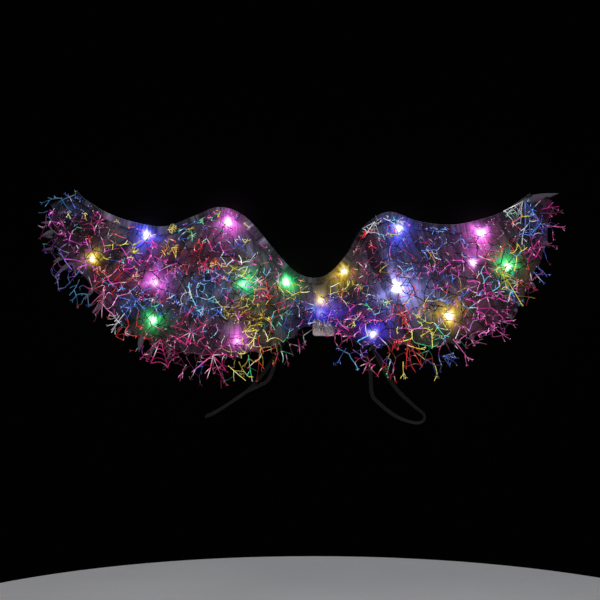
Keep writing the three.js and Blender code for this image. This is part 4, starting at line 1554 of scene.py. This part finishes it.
def motif_hues(chance, place, hues):
    """A hue for each motif, drawn by the shares of the hues at its place."""
    reached = np.cumsum(hue_shares(place), axis=-1) > chance.random(len(place))[:, None]
    return hues[np.argmax(reached, axis=-1)]


def strand_colours(chance, strands, hue, bright):
    """A colour for each corner of the strands' mesh: its motif's hue, with painted light and shade at each
    point of a strand, dimmer towards the wings' tips, and a painted pale glint on a few."""
    shine = mixed(*bright, chance.random(len(strands.motif)) ** SHINE_RARE)[:, None]
    shine = shine * chance.uniform(*SHINE_UNEVEN, (len(strands.motif), STRAND_POINTS))
    from_tip = MIDDLES[-1, 0] - np.abs(strands.paths[..., 0] - (MIDDLES[0, 0] + MIDDLES[-1, 0]) / 2)
    shine = shine * mixed(TIP_SHINE, 1.0, ease(from_tip / TIP_DIM))
    pale = GLINT_PALE * (chance.random(shine.shape) < GLINT_SHARE)
    colour = mixed(hue[strands.motif][:, None], 1.0, pale[..., None]) * shine[..., None]
    return np.repeat(np.clip(colour, 0, 1).reshape(-1, 3), len(STRAND_RING), axis=0)


def bars(strands, points, normals, width):
    """The strands as flat bars that taper towards their ends, as points and faces."""
    return sweep(points, normals, STRAND_RING, width * strands.width[:, None] * STRAND_TAPER)


def add_foil(name, parts, material):
    """A piece of foil from meshes of points, sides, caps and colours, put together as one."""
    points, faces, colours = zip(*parts)
    first = np.cumsum([0] + [len(each) for each in points])
    faces = [np.concatenate([part + start for part, start in zip(group, first)]) for group in zip(*faces)]
    points = np.concatenate(points)
    colours = {"foil": np.concatenate(colours)}
    return add_piece(name, points, faces, material, "web_foil", smooth=False, colours=colours)


# The foil of a tier.
FOIL_SPACING = 10.8 * MM
TWIG_KEPT = 0.45
LOOSE_BRANCHES = 3
LOOSE_BARBED = 0.45
FORK_LENGTH = (12 * MM, 28 * MM)
BURST_REACH = (4 * MM, 9 * MM)
# Painted shine of the strands, from the dimmest to the brightest.
FOIL_BRIGHT = (0.22, 3.5)
PAST_EDGE = 8 * MM


def tier_strands(chance, wing, tier):
    """The foil of a tier: an open network with twigs along it and spikes at its knots, forked strands, and
    bursts. Gives each group with the places of its motifs."""
    net, knot = network(chance, wing, tier, FOIL_SPACING, tier.foiled)
    root = scattered(chance, wing, tier, tier.forks)
    heading = TURN * chance.random(tier.forks)
    length = chance.uniform(*FORK_LENGTH, tier.forks)
    forks = forked(chance, root, heading, length, LOOSE_BRANCHES, LOOSE_BARBED)
    star = scattered(chance, wing, tier, tier.bursts)
    stars = burst(chance, star, chance.uniform(*BURST_REACH, tier.bursts))
    side = twigs(chance, net, TWIG_KEPT)
    return (together(net, side, spikes(chance, net)), knot), (forks, root), (stars, star)


# Forked strands that are placed one by one, and those that stray over the casing.
FORK_BRANCHES = 2
FORK_BARBED = 0.3
CASING_FORKS = 46
CASING_ENDS = 15 * MM
CASING_ROOTS = (0.2, 1.1)
CASING_SLANT = 0.5
CASING_FORK_LENGTH = (5 * MM, 12 * MM)
CASING_CLEAR = 3.2 * MM


def casing_strands(chance, wing):
    """Forked strands that stray over the casing of a wing, with the places of their roots. Each heads
    along the casing or slants across it."""
    start, end = wing_ends(wing)
    rib = rib_at(span_at(chance.uniform(start + CASING_ENDS, end - CASING_ENDS, CASING_FORKS)))
    root = rib.edge + rib.square * (rib.flap * chance.uniform(*CASING_ROOTS, CASING_FORKS))[:, None]
    heading = bearing(rib.square) + chance.choice([0.5, -0.5], CASING_FORKS) * np.pi
    heading = heading + chance.normal(0, CASING_SLANT, CASING_FORKS)
    length = chance.uniform(*CASING_FORK_LENGTH, CASING_FORKS)
    strands = forked(chance, root, heading, length, FORK_BRANCHES, FORK_BARBED)
    return strands.only(np.all(ribs_through(strands.paths)[1] > 0, axis=1)), root


def shows_on(wing, tier, place):
    """Whether a place lies on a wing, where a tier of it shows: the first tier, from the top, whose lower
    edge lies below the place, or the lowest one."""
    if (place[0] > 0) != (wing.name == "right"):
        return False
    for each in TIERS[:-1]:
        along, below = tier_place(each, place)
        if below < tier_reach(each, rib_at(span_at(along)))[1]:
            return each is tier
    return tier is TIERS[-1]


# Painted shine of the webs and forked strands that stand out.
WEB_BRIGHT = (0.3, 1.7)


def placed_motifs(chance, wing, tier):
    """The webs and forked strands that stand out on a tier of a wing, each with its hue."""
    for x, z, reach, turn, spread, spokes, rings, hue in FOIL_WEBS:
        hub = MM * np.array([x, z])
        if shows_on(wing, tier, hub):
            yield web(chance, hub, reach * MM, np.radians(turn), np.radians(spread), spokes, rings), hue
    for x, z, length, turn, hue in FOIL_FORKS:
        root = MM * np.array([x, z])
        if shows_on(wing, tier, root):
            stem = (root[None], np.radians([turn]), MM * np.array([length]))
            yield forked(chance, *stem, FORK_BRANCHES, FORK_BARBED), hue


# Black cords of the web, and silver specks.
CORD_SPACING = 13 * MM
CORD_KEPT = 0.55
CORD_WIDTH = 1.05
CORD_TWIGS = 0.6
CORD_BRIGHT = (0.0, 0.02)
SPECKS = 80
SPECK_LENGTH = (0.8 * MM, 1.9 * MM)
SPECK_WIDTH = 0.5
SPECK_BRIGHT = (0.4, 1.0)


def plain_strands(chance, wing, tier):
    """What a tier carries without coloured foil: the black cords of the web, and silver specks."""
    cords, _ = network(chance, wing, tier, CORD_SPACING, CORD_KEPT)
    cords = together(cords, twigs(chance, cords, CORD_TWIGS), spikes(chance, cords))
    cords = Strands(cords.paths, 0 * cords.motif, CORD_WIDTH * cords.width)
    place = scattered(chance, wing, tier, SPECKS)
    turn = TURN * chance.random(SPECKS)
    paths = spur(place, turn, chance.uniform(*SPECK_LENGTH, SPECKS), 0 * turn)
    return cords, Strands(paths, np.zeros(SPECKS, int), np.full(SPECKS, SPECK_WIDTH))


class WINGS_OT_foil(bpy.types.Operator):
    """Make the foil webs, forked strands, bursts and black cords on the tiers of tulle"""

    bl_idname = "wings.foil"
    bl_label = "Foil webs"

    def execute(self, context):
        settings = context.scene.costume_wings
        foil = settings.foil
        material = foil_finish()
        hues = palette(foil)
        silver = linear([foil.silver])
        for number, (wing, tier) in enumerate((wing, tier) for wing in WINGS for tier in TIERS):
            chance = np.random.default_rng(settings.seed + number)
            groups = [
                (strands, motif_hues(chance, place, hues), FOIL_BRIGHT)
                for strands, place in tier_strands(chance, wing, tier)
            ]
            cords, specks = plain_strands(chance, wing, tier)
            groups += [(cords, silver, CORD_BRIGHT), (specks, silver, SPECK_BRIGHT)]
            groups = [
                (strands.only(np.all(on_tier(wing, tier, strands.paths, PAST_EDGE), axis=1)), hue, bright)
                for strands, hue, bright in groups
            ]
            groups += [
                (strands, linear([getattr(foil, hue)]), WEB_BRIGHT)
                for strands, hue in placed_motifs(chance, wing, tier)
            ]
            parts = []
            for strands, hue, bright in groups:
                mesh = bars(strands, *on_tulle(wing, tier, strands.paths), foil.strand_width)
                parts.append((*mesh, strand_colours(chance, strands, hue, bright)))
            if tier is TIERS[0]:
                strands, place = casing_strands(chance, wing)
                points = stand(strands.paths, CASING_CLEAR)
                mesh = bars(strands, points, forwards(points), foil.strand_width)
                hue = motif_hues(chance, place, hues)
                parts.append((*mesh, strand_colours(chance, strands, hue, FOIL_BRIGHT)))
            add_foil(tier_name("foil", wing, tier), parts, material)
        return {"FINISHED"}


# Fringe: the web goes on past the lowest tier's edge, laid out in x and z

# Knots of the fringe.
FRINGE_SPACING = 11 * MM
FRINGE_ROWS = 6
FRINGE_STRAY = 0.26
FRINGE_ROOT = 8 * MM
ROOT_MOST = 0.5
FRINGE_REACH = (0.6, 1.0)
OUTWARD = 0.6
LONGEST_THREAD = 1.9

# Threads of the fringe, with their twigs and barbs.
RUNS_OUTWARD = 0.65
STEM_KEPT = 0.92
RUNG_KEPT = (0.5, 0.1)
FRINGE_BOW = 0.08
FRINGE_TWIGS = 0.3
END_BARBED = 0.4
END_BARB = 1.3
END_BARB_WIDTH = 0.8

# Curl, growth and painted shine of the fringe.
FRINGE_CURL = 7 * MM
CURL_REACH = 40 * MM
CURL_WAVE = 0.9
GROWS = (0.25, 0.75)
FRINGE_SEED = 50
FRINGE_BRIGHT = (0.1, 0.92)


class Hem(NamedTuple):
    """Places along the lowest tier's edge: their points just above it, the outward directions in x and z,
    and the length of the fringe there."""

    point: np.ndarray
    outward: np.ndarray
    length: np.ndarray


def hem_places(wing, tier, along):
    """The tier's edge at distances along the wing. Outward lies between the rib's direction and the one
    square to the edge."""
    rib = rib_at(span_at(along))
    depth = tier_reach(tier, rib)[1]
    point = tulle_point(wing, tier, along, depth - np.minimum(FRINGE_ROOT, ROOT_MOST * depth))
    step = 2 * MM
    before, after = (smooth_rows(RIBS[:, HEM], span_at(along + way * step)) for way in (-1, 1))
    outward = unit(mixed(rib.down, unit(-quarter_turn(after - before)), OUTWARD))
    return Hem(point, outward, FRINGE_ROOT + rib.fringe - rib.past)


def fringe_strands(chance, hem):
    """The fringe's strands: knots in rows outwards from the hem, moved by chance and cut off at uneven
    lengths, and threads between them. Threads that run outwards are mostly kept, and those across are
    left out more and more towards the ends. Some carry twigs, and some ends barbs. Gives the strands, the
    knots, and each knot's place on the hem."""
    count = len(hem.length)
    length = hem.length * chance.uniform(*FRINGE_REACH, count)
    row = np.arange(FRINGE_ROWS) + chance.normal(0, FRINGE_STRAY, (count, FRINGE_ROWS))
    out = FRINGE_SPACING * np.maximum(row, 0)
    aside = FRINGE_SPACING * chance.normal(0, FRINGE_STRAY, out.shape)
    knot = hem.point[:, None, [0, 2]] + out[..., None] * hem.outward[:, None]
    knot = knot + aside[..., None] * quarter_turn(hem.outward)[:, None]
    column, row = np.nonzero(out < length[:, None])
    knot, run = knot[column, row], out[column, row] / hem.length[column]
    first, last = threads_between(knot)
    step = knot[last] - knot[first]
    reach = np.linalg.norm(step, axis=-1)
    outward = np.abs(np.sum(step * hem.outward[column[first]], axis=-1)) > RUNS_OUTWARD * reach
    kept = np.where(outward, STEM_KEPT, mixed(*RUNG_KEPT, np.clip((run[first] + run[last]) / 2, 0, 1)))
    pick = (reach < LONGEST_THREAD * FRINGE_SPACING) & (chance.random(len(first)) < kept)
    first, last = first[pick], last[pick]
    away = run[last] >= run[first]
    first, last = np.where(away, first, last), np.where(away, last, first)
    paths = tie(knot[first], knot[last], chance.normal(0, FRINGE_BOW, len(first)))
    threads = Strands(paths, first, np.ones(len(first)))
    side = twigs(chance, threads, FRINGE_TWIGS)
    ends = np.flatnonzero(~np.isin(last, first) & (chance.random(len(first)) < END_BARBED))
    tips = barbs(chance, paths[ends], first[ends], END_BARB, END_BARB_WIDTH)
    return together(threads, side, *tips), knot, column


def hung(strands, hem, column, curl):
    """Strands of the fringe in space: each keeps the depth of the hem where it starts, and curls forwards
    or back by the square of the distance from it."""
    place = column[strands.motif]
    root = hem.point[place][:, None]
    away = np.linalg.norm(strands.paths - root[..., [0, 2]], axis=-1)
    depth = root[..., 1] - curl[place][:, None] * (away / CURL_REACH) ** 2 - STRAND_CLEAR
    points = np.stack([strands.paths[..., 0], depth, strands.paths[..., 1]], axis=-1)
    return points, forwards(points)


# Blades of tulle: the outline is a half wave from its start on, drawn to the root by a power.
BLADE_SHARE = 0.4
BLADES_BEYOND = 190 * MM
BLADE_STRAY = 0.2
BLADE_LENGTH = (0.35, 0.75)
BLADE_HALF = (1.6 * MM, 4.2 * MM)
BLADE_START = 0.12
BLADE_POWER = 0.8
BLADE_CUP = 0.25
BLADE_BEHIND = 0.4 * MM
BLADE_STEPS = 12
BLADE_ACROSS = 7
BLADE_TINT = 0.05
# Painted highlights on the blades' rims: their width and how bright they are.
BLADE_HIGHLIGHT_WIDTH = 0.35 * MM
RIM_HIGHLIGHT_BRIGHT = (0.02, 0.25)

# Loose blades: x and z of the root, direction in degrees, length and half width, all lengths in millimetres.
LOOSE_BLADES = {
    "left": ((-392, 93, 175, 14, 1.8), (-392, 76, 190, 14, 1.8)),
    "right": ((304, 147, 12, 54, 5.5),),
}


def fringe_blades(chance, wing, hem, curl):
    """Pointed blades of tulle in the outer fringe, and the loose ones at a tip: a blade runs outwards, its
    half width is a sine of a power of the share run, and its middle is raised by a share of its width.
    Gives a grid for each, and its pattern coordinates."""
    outer = np.abs(hem.point[:, 0]) > BLADES_BEYOND
    pick = np.flatnonzero(outer & (chance.random(len(outer)) < BLADE_SHARE))
    loose = np.array(LOOSE_BLADES[wing.name], dtype=float)
    root = np.concatenate([hem.point[pick], stand(MM * loose[:, :2], SEAM_STANDS)])[:, None, None]
    heading = bearing(hem.outward[pick]) + chance.normal(0, BLADE_STRAY, len(pick))
    length = hem.length[pick] * chance.uniform(*BLADE_LENGTH, len(pick))
    half = chance.uniform(*BLADE_HALF, len(pick))
    heading, length, half, bend = (
        np.concatenate(pair)[:, None, None]
        for pair in (
            (heading, np.radians(loose[:, 2])),
            (length, MM * loose[:, 3]),
            (half, MM * loose[:, 4]),
            (curl[pick], 0 * loose[:, 0]),
        )
    )
    run = np.linspace(0, 1, BLADE_STEPS)[:, None]
    across = np.linspace(-1, 1, BLADE_ACROSS)
    ahead = length * run
    aside = half * np.sin(np.pi * mixed(BLADE_START, 1.0, run**BLADE_POWER)) * across
    x = root[..., 0] + ahead * np.cos(heading) - aside * np.sin(heading)
    z = root[..., 2] + ahead * np.sin(heading) + aside * np.cos(heading)
    lift = bend * (ahead / CURL_REACH) ** 2 + BLADE_CUP * half * (1 - across**2)
    y = root[..., 1] - lift + BLADE_BEHIND
    return np.stack([x, y, z], axis=-1), np.stack([ahead + 0 * aside, aside], axis=-1)


def blade_rim_highlights(chance, blades, hue):
    """Painted highlights along both sides of every blade, as thin pale rims: points, faces and colours."""
    paths = np.concatenate([blades[:, :, 0], blades[:, :, -1]])
    points, faces = sweep(paths, forwards(paths), STRAND_RING, BLADE_HIGHLIGHT_WIDTH)
    shine = np.repeat(chance.uniform(*RIM_HIGHLIGHT_BRIGHT, len(paths)), BLADE_STEPS * len(STRAND_RING))
    return points, faces, shine[:, None] * hue


def add_blades(settings, wing, blades, uv):
    """The blades of a wing as one piece of tulle."""
    first = BLADE_STEPS * BLADE_ACROSS * np.arange(len(blades))[:, None, None]
    tint = np.broadcast_to(BLADE_TINT * linear(settings.cloth.tulle_colour), blades.shape)
    piece = add_piece(
        f"blades_{wing.name}",
        blades,
        (first + grid_faces(BLADE_STEPS, BLADE_ACROSS)).reshape(-1, 4),
        bpy.data.materials["web_tulle"],
        "web_tulle",
        uv=uv,
        colours={"tint": tint, "glow": lamp_glow(settings.lights, blades)},
    )
    thicken(piece, TULLE_THICK)
    return piece


DEPTH_RIBS = 200


def declare_tulle(wing, edging):
    """Looks up a wing's tiers of tulle and their foil, and works out each tier's greatest depth and cut
    cloth, which it keeps nowhere. The edging is not used.
    """
    start, end = wing_ends(wing)
    ribs = rib_at(np.linspace(wing.start, wing.end, DEPTH_RIBS))
    for tier in TIERS:
        tulle = bpy.data.objects[tier_name("tulle", wing, tier)]
        foil = bpy.data.objects[tier_name("foil", wing, tier)]
        float(tier_reach(tier, ribs)[1].max())
        TULLE_FULLNESS * TULLE_LEFT * mesh_area(tulle)


class WINGS_OT_fringe(bpy.types.Operator):
    bl_idname = "wings.fringe"
    bl_label = "Fringe"

    def execute(self, context):
        settings = context.scene.costume_wings
        foil = settings.foil
        hues = palette(foil)
        for number, wing in enumerate(WINGS):
            chance = np.random.default_rng(settings.seed + FRINGE_SEED + number)
            start, end = wing_ends(wing)
            count = int((end - start) / FRINGE_SPACING)
            along = start + (end - start) * (np.arange(count) + chance.uniform(*GROWS, count)) / count
            hem = hem_places(wing, TIERS[-1], along)
            strands, knot, column = fringe_strands(chance, hem)
            curl = FRINGE_CURL * np.sin(CURL_WAVE * np.arange(count) + TURN * chance.random())
            hue = motif_hues(chance, knot, hues)
            colours = strand_colours(chance, strands, hue, FRINGE_BRIGHT)
            mesh = bars(strands, *hung(strands, hem, column, curl), foil.fringe_width)
            blades, uv = fringe_blades(chance, wing, hem, curl)
            # The fringe's foil, and the painted highlights on the blades' rims.
            parts = [(*mesh, colours), blade_rim_highlights(chance, blades, linear(foil.silver))]
            fringe = add_foil(f"fringe_{wing.name}", parts, bpy.data.materials["web_foil"])
            declare_tulle(wing, [fringe, add_blades(settings, wing, blades, uv)])
        return {"FINISHED"}


# Lights

LEAD_STRAND = 0.55 * MM
LEAD_TWIST = 7 * MM
LEAD_STEP = 1.6 * MM
LEAD_CORNERS = 6


def lead_route(side):
    """The lead's line: through the lights of a string in order, behind the organza."""
    stops = np.vstack([(LEAD_STARTS[side], LEAD_START_Z), lamp_places(LAMPS[side])])
    fine = smooth_rows(stops, np.linspace(0, 1, ROUTE_POINTS), LEAD_TENSION)
    lengths = path_lengths(fine)
    even = np.linspace(0, lengths[-1], int(lengths[-1] / LEAD_STEP))
    return stand(read_along(fine, lengths, even), -LEAD_DEPTH), even


def twisted_pair(route, run):
    """Two wires wound round each other: each keeps half its width from the route, on opposite sides that
    turn with the distance run."""
    tangent = unit(np.gradient(route, axis=0))
    out = unit(np.cross(tangent, np.cross(BACKWARD, tangent)))
    across = np.cross(tangent, out)
    turn = (TURN * run / LEAD_TWIST)[:, None]
    aside = LEAD_STRAND / 2 * (np.cos(turn) * out + np.sin(turn) * across)
    paths = np.stack([route + aside, route - aside])
    return sweep(paths, np.stack([out, out]), round_ring(LEAD_CORNERS), LEAD_STRAND)


DROP_TURNS = 20
DROP_RISES = 13
DROP_DRAWN = 0.45


def resin_drops(lamps):
    """Drops of resin round the lights: a ball whose back is drawn out to take in the lead, on a grid of
    turns and rises, with both poles closed by their last ring."""
    turn = TURN * np.arange(DROP_TURNS) / DROP_TURNS
    rise = (np.pi * (np.arange(DROP_RISES) + 0.5) / DROP_RISES)[:, None]
    back = -np.cos(rise) * np.ones(DROP_TURNS)
    drawn = np.where(back > 0, 1 + DROP_DRAWN * back, 1)
    ball = np.stack([np.sin(rise) * np.cos(turn), back * drawn, np.sin(rise) * np.sin(turn)], axis=-1)
    points = stand(lamp_places(lamps), -LED_DEPTH)[:, None, None] + LED_RADIUS * ball
    return points, tube_faces(points, clockwise=True)


class WINGS_OT_lights(bpy.types.Operator):
    """Make the two strings of lights behind the organza: twisted leads and resin drops"""

    bl_idname = "wings.lights"
    bl_label = "Lights"

    def execute(self, context):
        settings = context.scene.costume_wings
        lead = coated_finish("lead_wire", settings.fittings.lead_colour, WIRE_ROUGH)
        for side in LAMPS:
            mesh = twisted_pair(*lead_route(side))
            add_piece(f"lead_{side}", *mesh, lead, "lead_wire", replaced=[f"light_lead_{side}"])
        for colour in LAMP_COLOURS:
            chosen = [number for number, lamp in enumerate(ALL_LAMPS) if lamp.colour == colour]
            add_piece(
                f"lights_{colour}",
                *resin_drops([ALL_LAMPS[number] for number in chosen]),
                lens_finish(f"lens_{colour}", getattr(settings.lights, colour)),
                f"lens_{colour}",
                replaced=[f"led_{number + 1:02d}_{colour}" for number in chosen],
            )
        return {"FINISHED"}


# Battery case

CASE_MIDDLE = (9 * MM, -38.5 * MM)
CASE_HALF = (17 * MM, 15.5 * MM)
CASE_CORNER = 4 * MM
CASE_CORNER_LEAST = 0.3 * MM
CASE_CORNER_STEPS = 8

# The case's outline from front to back: how far it is drawn in, and its depth, in millimetres.
CASE_PROFILE = (
    (15.0, 0.8), (8.0, 0.8), (1.6, 0.8), (0.9, 0.9), (0.35, 1.3), (0.0, 2.0), (0.0, 6.9), (0.45, 7.0),
    (0.45, 7.5), (0.0, 7.6), (0.0, 10.6), (0.35, 11.3), (0.9, 11.7), (1.6, 11.8), (2.6, 11.8), (2.8, 11.4),
    (3.3, 11.4), (3.5, 11.8), (8.0, 11.8), (15.0, 11.8),
)


def battery_case():
    """The battery case: a rounded oblong outline carried through its depth, drawn in at each row of the
    profile, which has a seam round the side and a lid line on the back."""
    inset, depth = MM * np.array(CASE_PROFILE).T
    quarter = np.linspace(0, np.pi / 2, CASE_CORNER_STEPS)
    turn = (quarter + np.pi / 2 * np.arange(4)[:, None]).ravel()
    sign_x = np.repeat([1, -1, -1, 1], CASE_CORNER_STEPS)
    sign_z = np.repeat([1, 1, -1, -1], CASE_CORNER_STEPS)
    corner = np.maximum(CASE_CORNER - inset, CASE_CORNER_LEAST)[:, None]
    half_x = (CASE_HALF[0] - inset)[:, None]
    half_z = (CASE_HALF[1] - inset)[:, None]
    x = CASE_MIDDLE[0] + sign_x * (half_x - corner) + corner * np.cos(turn)
    z = CASE_MIDDLE[1] + sign_z * (half_z - corner) + corner * np.sin(turn)
    points = np.stack([x, depth[:, None] * np.ones_like(x), z], axis=-1)
    return points, tube_faces(points[None], clockwise=True)


class WINGS_OT_battery_case(bpy.types.Operator):
    """Make the pale battery case behind the middle"""

    bl_idname = "wings.battery_case"
    bl_label = "Battery case"

    def execute(self, context):
        material = case_finish(context.scene.costume_wings.fittings)
        add_piece("case", *battery_case(), material, "case_plastic", replaced=["battery_case"], smooth=False)
        return {"FINISHED"}


# Shoulder loops

BAND_STEPS = 260
BAND_RIBS = 5
POINTS_PER_RIB = 4
RIB_SWELL = 0.14
EDGE_SWELL = 0.45


def band_ring(width):
    """The band's section: its two faces in shallow ribs and its two rounded edges, counted round once."""
    share = np.linspace(-0.5, 0.5, POINTS_PER_RIB * BAND_RIBS + 1)
    swell = BAND_THICK / 2 * mixed(1 - RIB_SWELL, 1, np.abs(np.cos(np.pi * BAND_RIBS * share)))
    swell = swell * np.where(np.abs(share) == 0.5, EDGE_SWELL, 1)
    upper = np.stack([share * width, swell], axis=-1)
    lower = np.stack([share * width, -swell], axis=-1)
    return np.concatenate([upper[::-1], lower])


def loop_route(side):
    """A loop's line, the direction that its face looks in, which is the depth direction square to the line
    turned about it by the twist, and how far along the line each point lies."""
    table = np.array(LOOPS[side], dtype=float)
    share = np.linspace(0, 1, ROUTE_POINTS)
    fine = MM * smooth_rows(table[:, :3], share)
    twist = np.radians(np.interp(share, np.linspace(0, 1, len(table)), table[:, 3]))
    lengths = path_lengths(fine)
    even = np.linspace(0, lengths[-1], BAND_STEPS)
    route = read_along(fine, lengths, even)
    twist = np.interp(even, lengths, twist)[:, None]
    tangent = unit(np.gradient(route, axis=0))
    depth = unit(BACKWARD - tangent * tangent[:, 1:2])
    return route, depth * np.cos(twist) + np.cross(tangent, depth) * np.sin(twist), even


class WINGS_OT_shoulder_loops(bpy.types.Operator):
    """Make the two elastic shoulder loops"""

    bl_idname = "wings.shoulder_loops"
    bl_label = "Shoulder loops"

    def execute(self, context):
        fittings = context.scene.costume_wings.fittings
        material = elastic_finish(fittings)
        ring = band_ring(fittings.band_width)
        round_band = path_lengths(ring)
        for side in LOOPS:
            route, face, run = loop_route(side)
            band = sweep(route[None], face[None], ring, 1.0)
            uv = np.stack(np.meshgrid(run, round_band, indexing="ij"), axis=-1)
            replaced = [f"shoulder_loop_{side}"]
            loop = add_piece(f"loop_{side}", *band, material, "elastic", replaced=replaced, uv=uv)
        return {"FINISHED"}


# Stage

LENS = 85.0
SOFT_LIGHT_SIZE = 1.5
STAGE_LIGHTS = {
    "key": ((-0.9, -1.9, 1.1), (1.0, 0.98, 0.96)),
    "fill": ((1.3, -1.7, 0.5), (0.95, 0.97, 1.0)),
    "back": ((0.2, 1.2, 1.4), (0.95, 0.97, 1.0)),
}
ROOM_LIGHT = 0.0004
FLOOR_TURNS = 96
FLOOR_RINGS = 24
FLOOR_HUB = 0.02
BLOOM = {"Threshold": 0.9, "Strength": 0.25, "Size": 0.35}
SHEER_LAYERS = 32


def round_floor(stage):
    """The floor: a disc on a grid of rings and turns, closed at its middle by the first small ring."""
    turn = TURN * np.arange(FLOOR_TURNS) / FLOOR_TURNS
    ring = stage.floor_reach * np.linspace(FLOOR_HUB, 1, FLOOR_RINGS)[:, None]
    level = 0 * ring * turn - stage.floor_drop
    points = np.stack([ring * np.cos(turn), ring * np.sin(turn), level], axis=-1)
    sides, caps = tube_faces(points[None], clockwise=True)
    return points, [sides, caps[:1]]


def soft_light(name, place, colour, power):
    """A large square light at a place, turned to the middle of the wings."""
    lamp = bpy.data.lights.new(f"{name}_light", "AREA")
    lamp.energy = power
    lamp.color = colour
    lamp.shape = "SQUARE"
    lamp.size = SOFT_LIGHT_SIZE
    light = add_object(f"{name}_light", lamp)
    light.location = place
    light.rotation_euler = (-Vector(place)).to_track_quat("-Z", "Y").to_euler()


def glow_in_the_lens(scene):
    """The bloom of the lens round the brightest lights."""
    scene.use_nodes = True
    tree = scene.node_tree
    tree.nodes.clear()
    layers = tree.nodes.new("CompositorNodeRLayers")
    glare = tree.nodes.new("CompositorNodeGlare")
    glare.glare_type = "BLOOM"
    glare.quality = "HIGH"
    for socket, value in BLOOM.items():
        glare.inputs[socket].default_value = value
    shown = tree.nodes.new("CompositorNodeComposite")
    tree.links.new(layers.outputs["Image"], glare.inputs["Image"])
    tree.links.new(glare.outputs["Image"], shown.inputs["Image"])


class WINGS_OT_stage(bpy.types.Operator):
    """Set out the floor, the soft studio lights, the dark room and the camera"""

    bl_idname = "wings.stage"
    bl_label = "Stage"

    def execute(self, context):
        scene = context.scene
        stage = scene.costume_wings.stage
        mesh = new_mesh("floor", *round_floor(stage), floor_finish(stage), smooth=False)
        floor = add_object("floor", mesh)
        for name, (place, colour) in STAGE_LIGHTS.items():
            soft_light(name, place, colour, getattr(stage, f"{name}_power"))
        scene.world = bpy.data.worlds.new("dark_room")
        scene.world.use_nodes = True
        scene.world.node_tree.nodes["Background"].inputs["Color"].default_value = (*[ROOM_LIGHT] * 3, 1)
        camera = add_object("camera", bpy.data.cameras.new("camera"))
        camera.data.lens = LENS
        camera.location = (stage.camera_side, -stage.camera_distance, 0)
        camera.rotation_euler = (np.pi / 2, 0, 0)
        scene.camera = camera
        scene.view_settings.view_transform = "Standard"
        scene.cycles.transparent_max_bounces = SHEER_LAYERS
        glow_in_the_lens(scene)
        return {"FINISHED"}


OPERATORS = (
    WINGS_OT_stage,
    WINGS_OT_shoulder_loops,
    WINGS_OT_organza,
    WINGS_OT_tulle,
    WINGS_OT_foil,
    WINGS_OT_fringe,
    WINGS_OT_lights,
    WINGS_OT_battery_case,
)


class WINGS_PT_panel(bpy.types.Panel):
    """The wings' settings and the operators that make them"""

    bl_idname = "WINGS_PT_panel"
    bl_label = "Costume wings"
    bl_space_type = "VIEW_3D"
    bl_region_type = "UI"
    bl_category = "Wings"

    def draw(self, context):
        settings = context.scene.costume_wings
        self.layout.prop(settings, "seed")
        for name in ("cloth", "foil", "lights", "fittings", "stage"):
            group = getattr(settings, name)
            box = self.layout.box()
            box.label(text=name.capitalize())
            for key in group.bl_rna.properties.keys():
                if key not in ("rna_type", "name"):
                    box.prop(group, key)
        for operator in OPERATORS:
            self.layout.operator(operator.bl_idname)


CLASSES = (
    WINGS_PG_cloth,
    WINGS_PG_foil,
    WINGS_PG_lights,
    WINGS_PG_fittings,
    WINGS_PG_stage,
    WINGS_PG_settings,
    *OPERATORS,
    WINGS_PT_panel,
)


def register():
    """Registers the classes and puts the settings on the scene."""
    for each in CLASSES:
        bpy.utils.register_class(each)
    bpy.types.Scene.costume_wings = PointerProperty(type=WINGS_PG_settings)


def unregister():
    """Takes the settings off the scene and the classes away."""
    del bpy.types.Scene.costume_wings
    for each in reversed(CLASSES):
        bpy.utils.unregister_class(each)


def main():
    """Builds the stage and every piece in order."""
    register()
    bpy.ops.wings.stage()
    bpy.ops.wings.shoulder_loops()
    bpy.ops.wings.organza()
    bpy.ops.wings.tulle()
    bpy.ops.wings.foil()
    bpy.ops.wings.fringe()
    bpy.ops.wings.lights()
    bpy.ops.wings.battery_case()


if __name__ == "__main__":
    main()
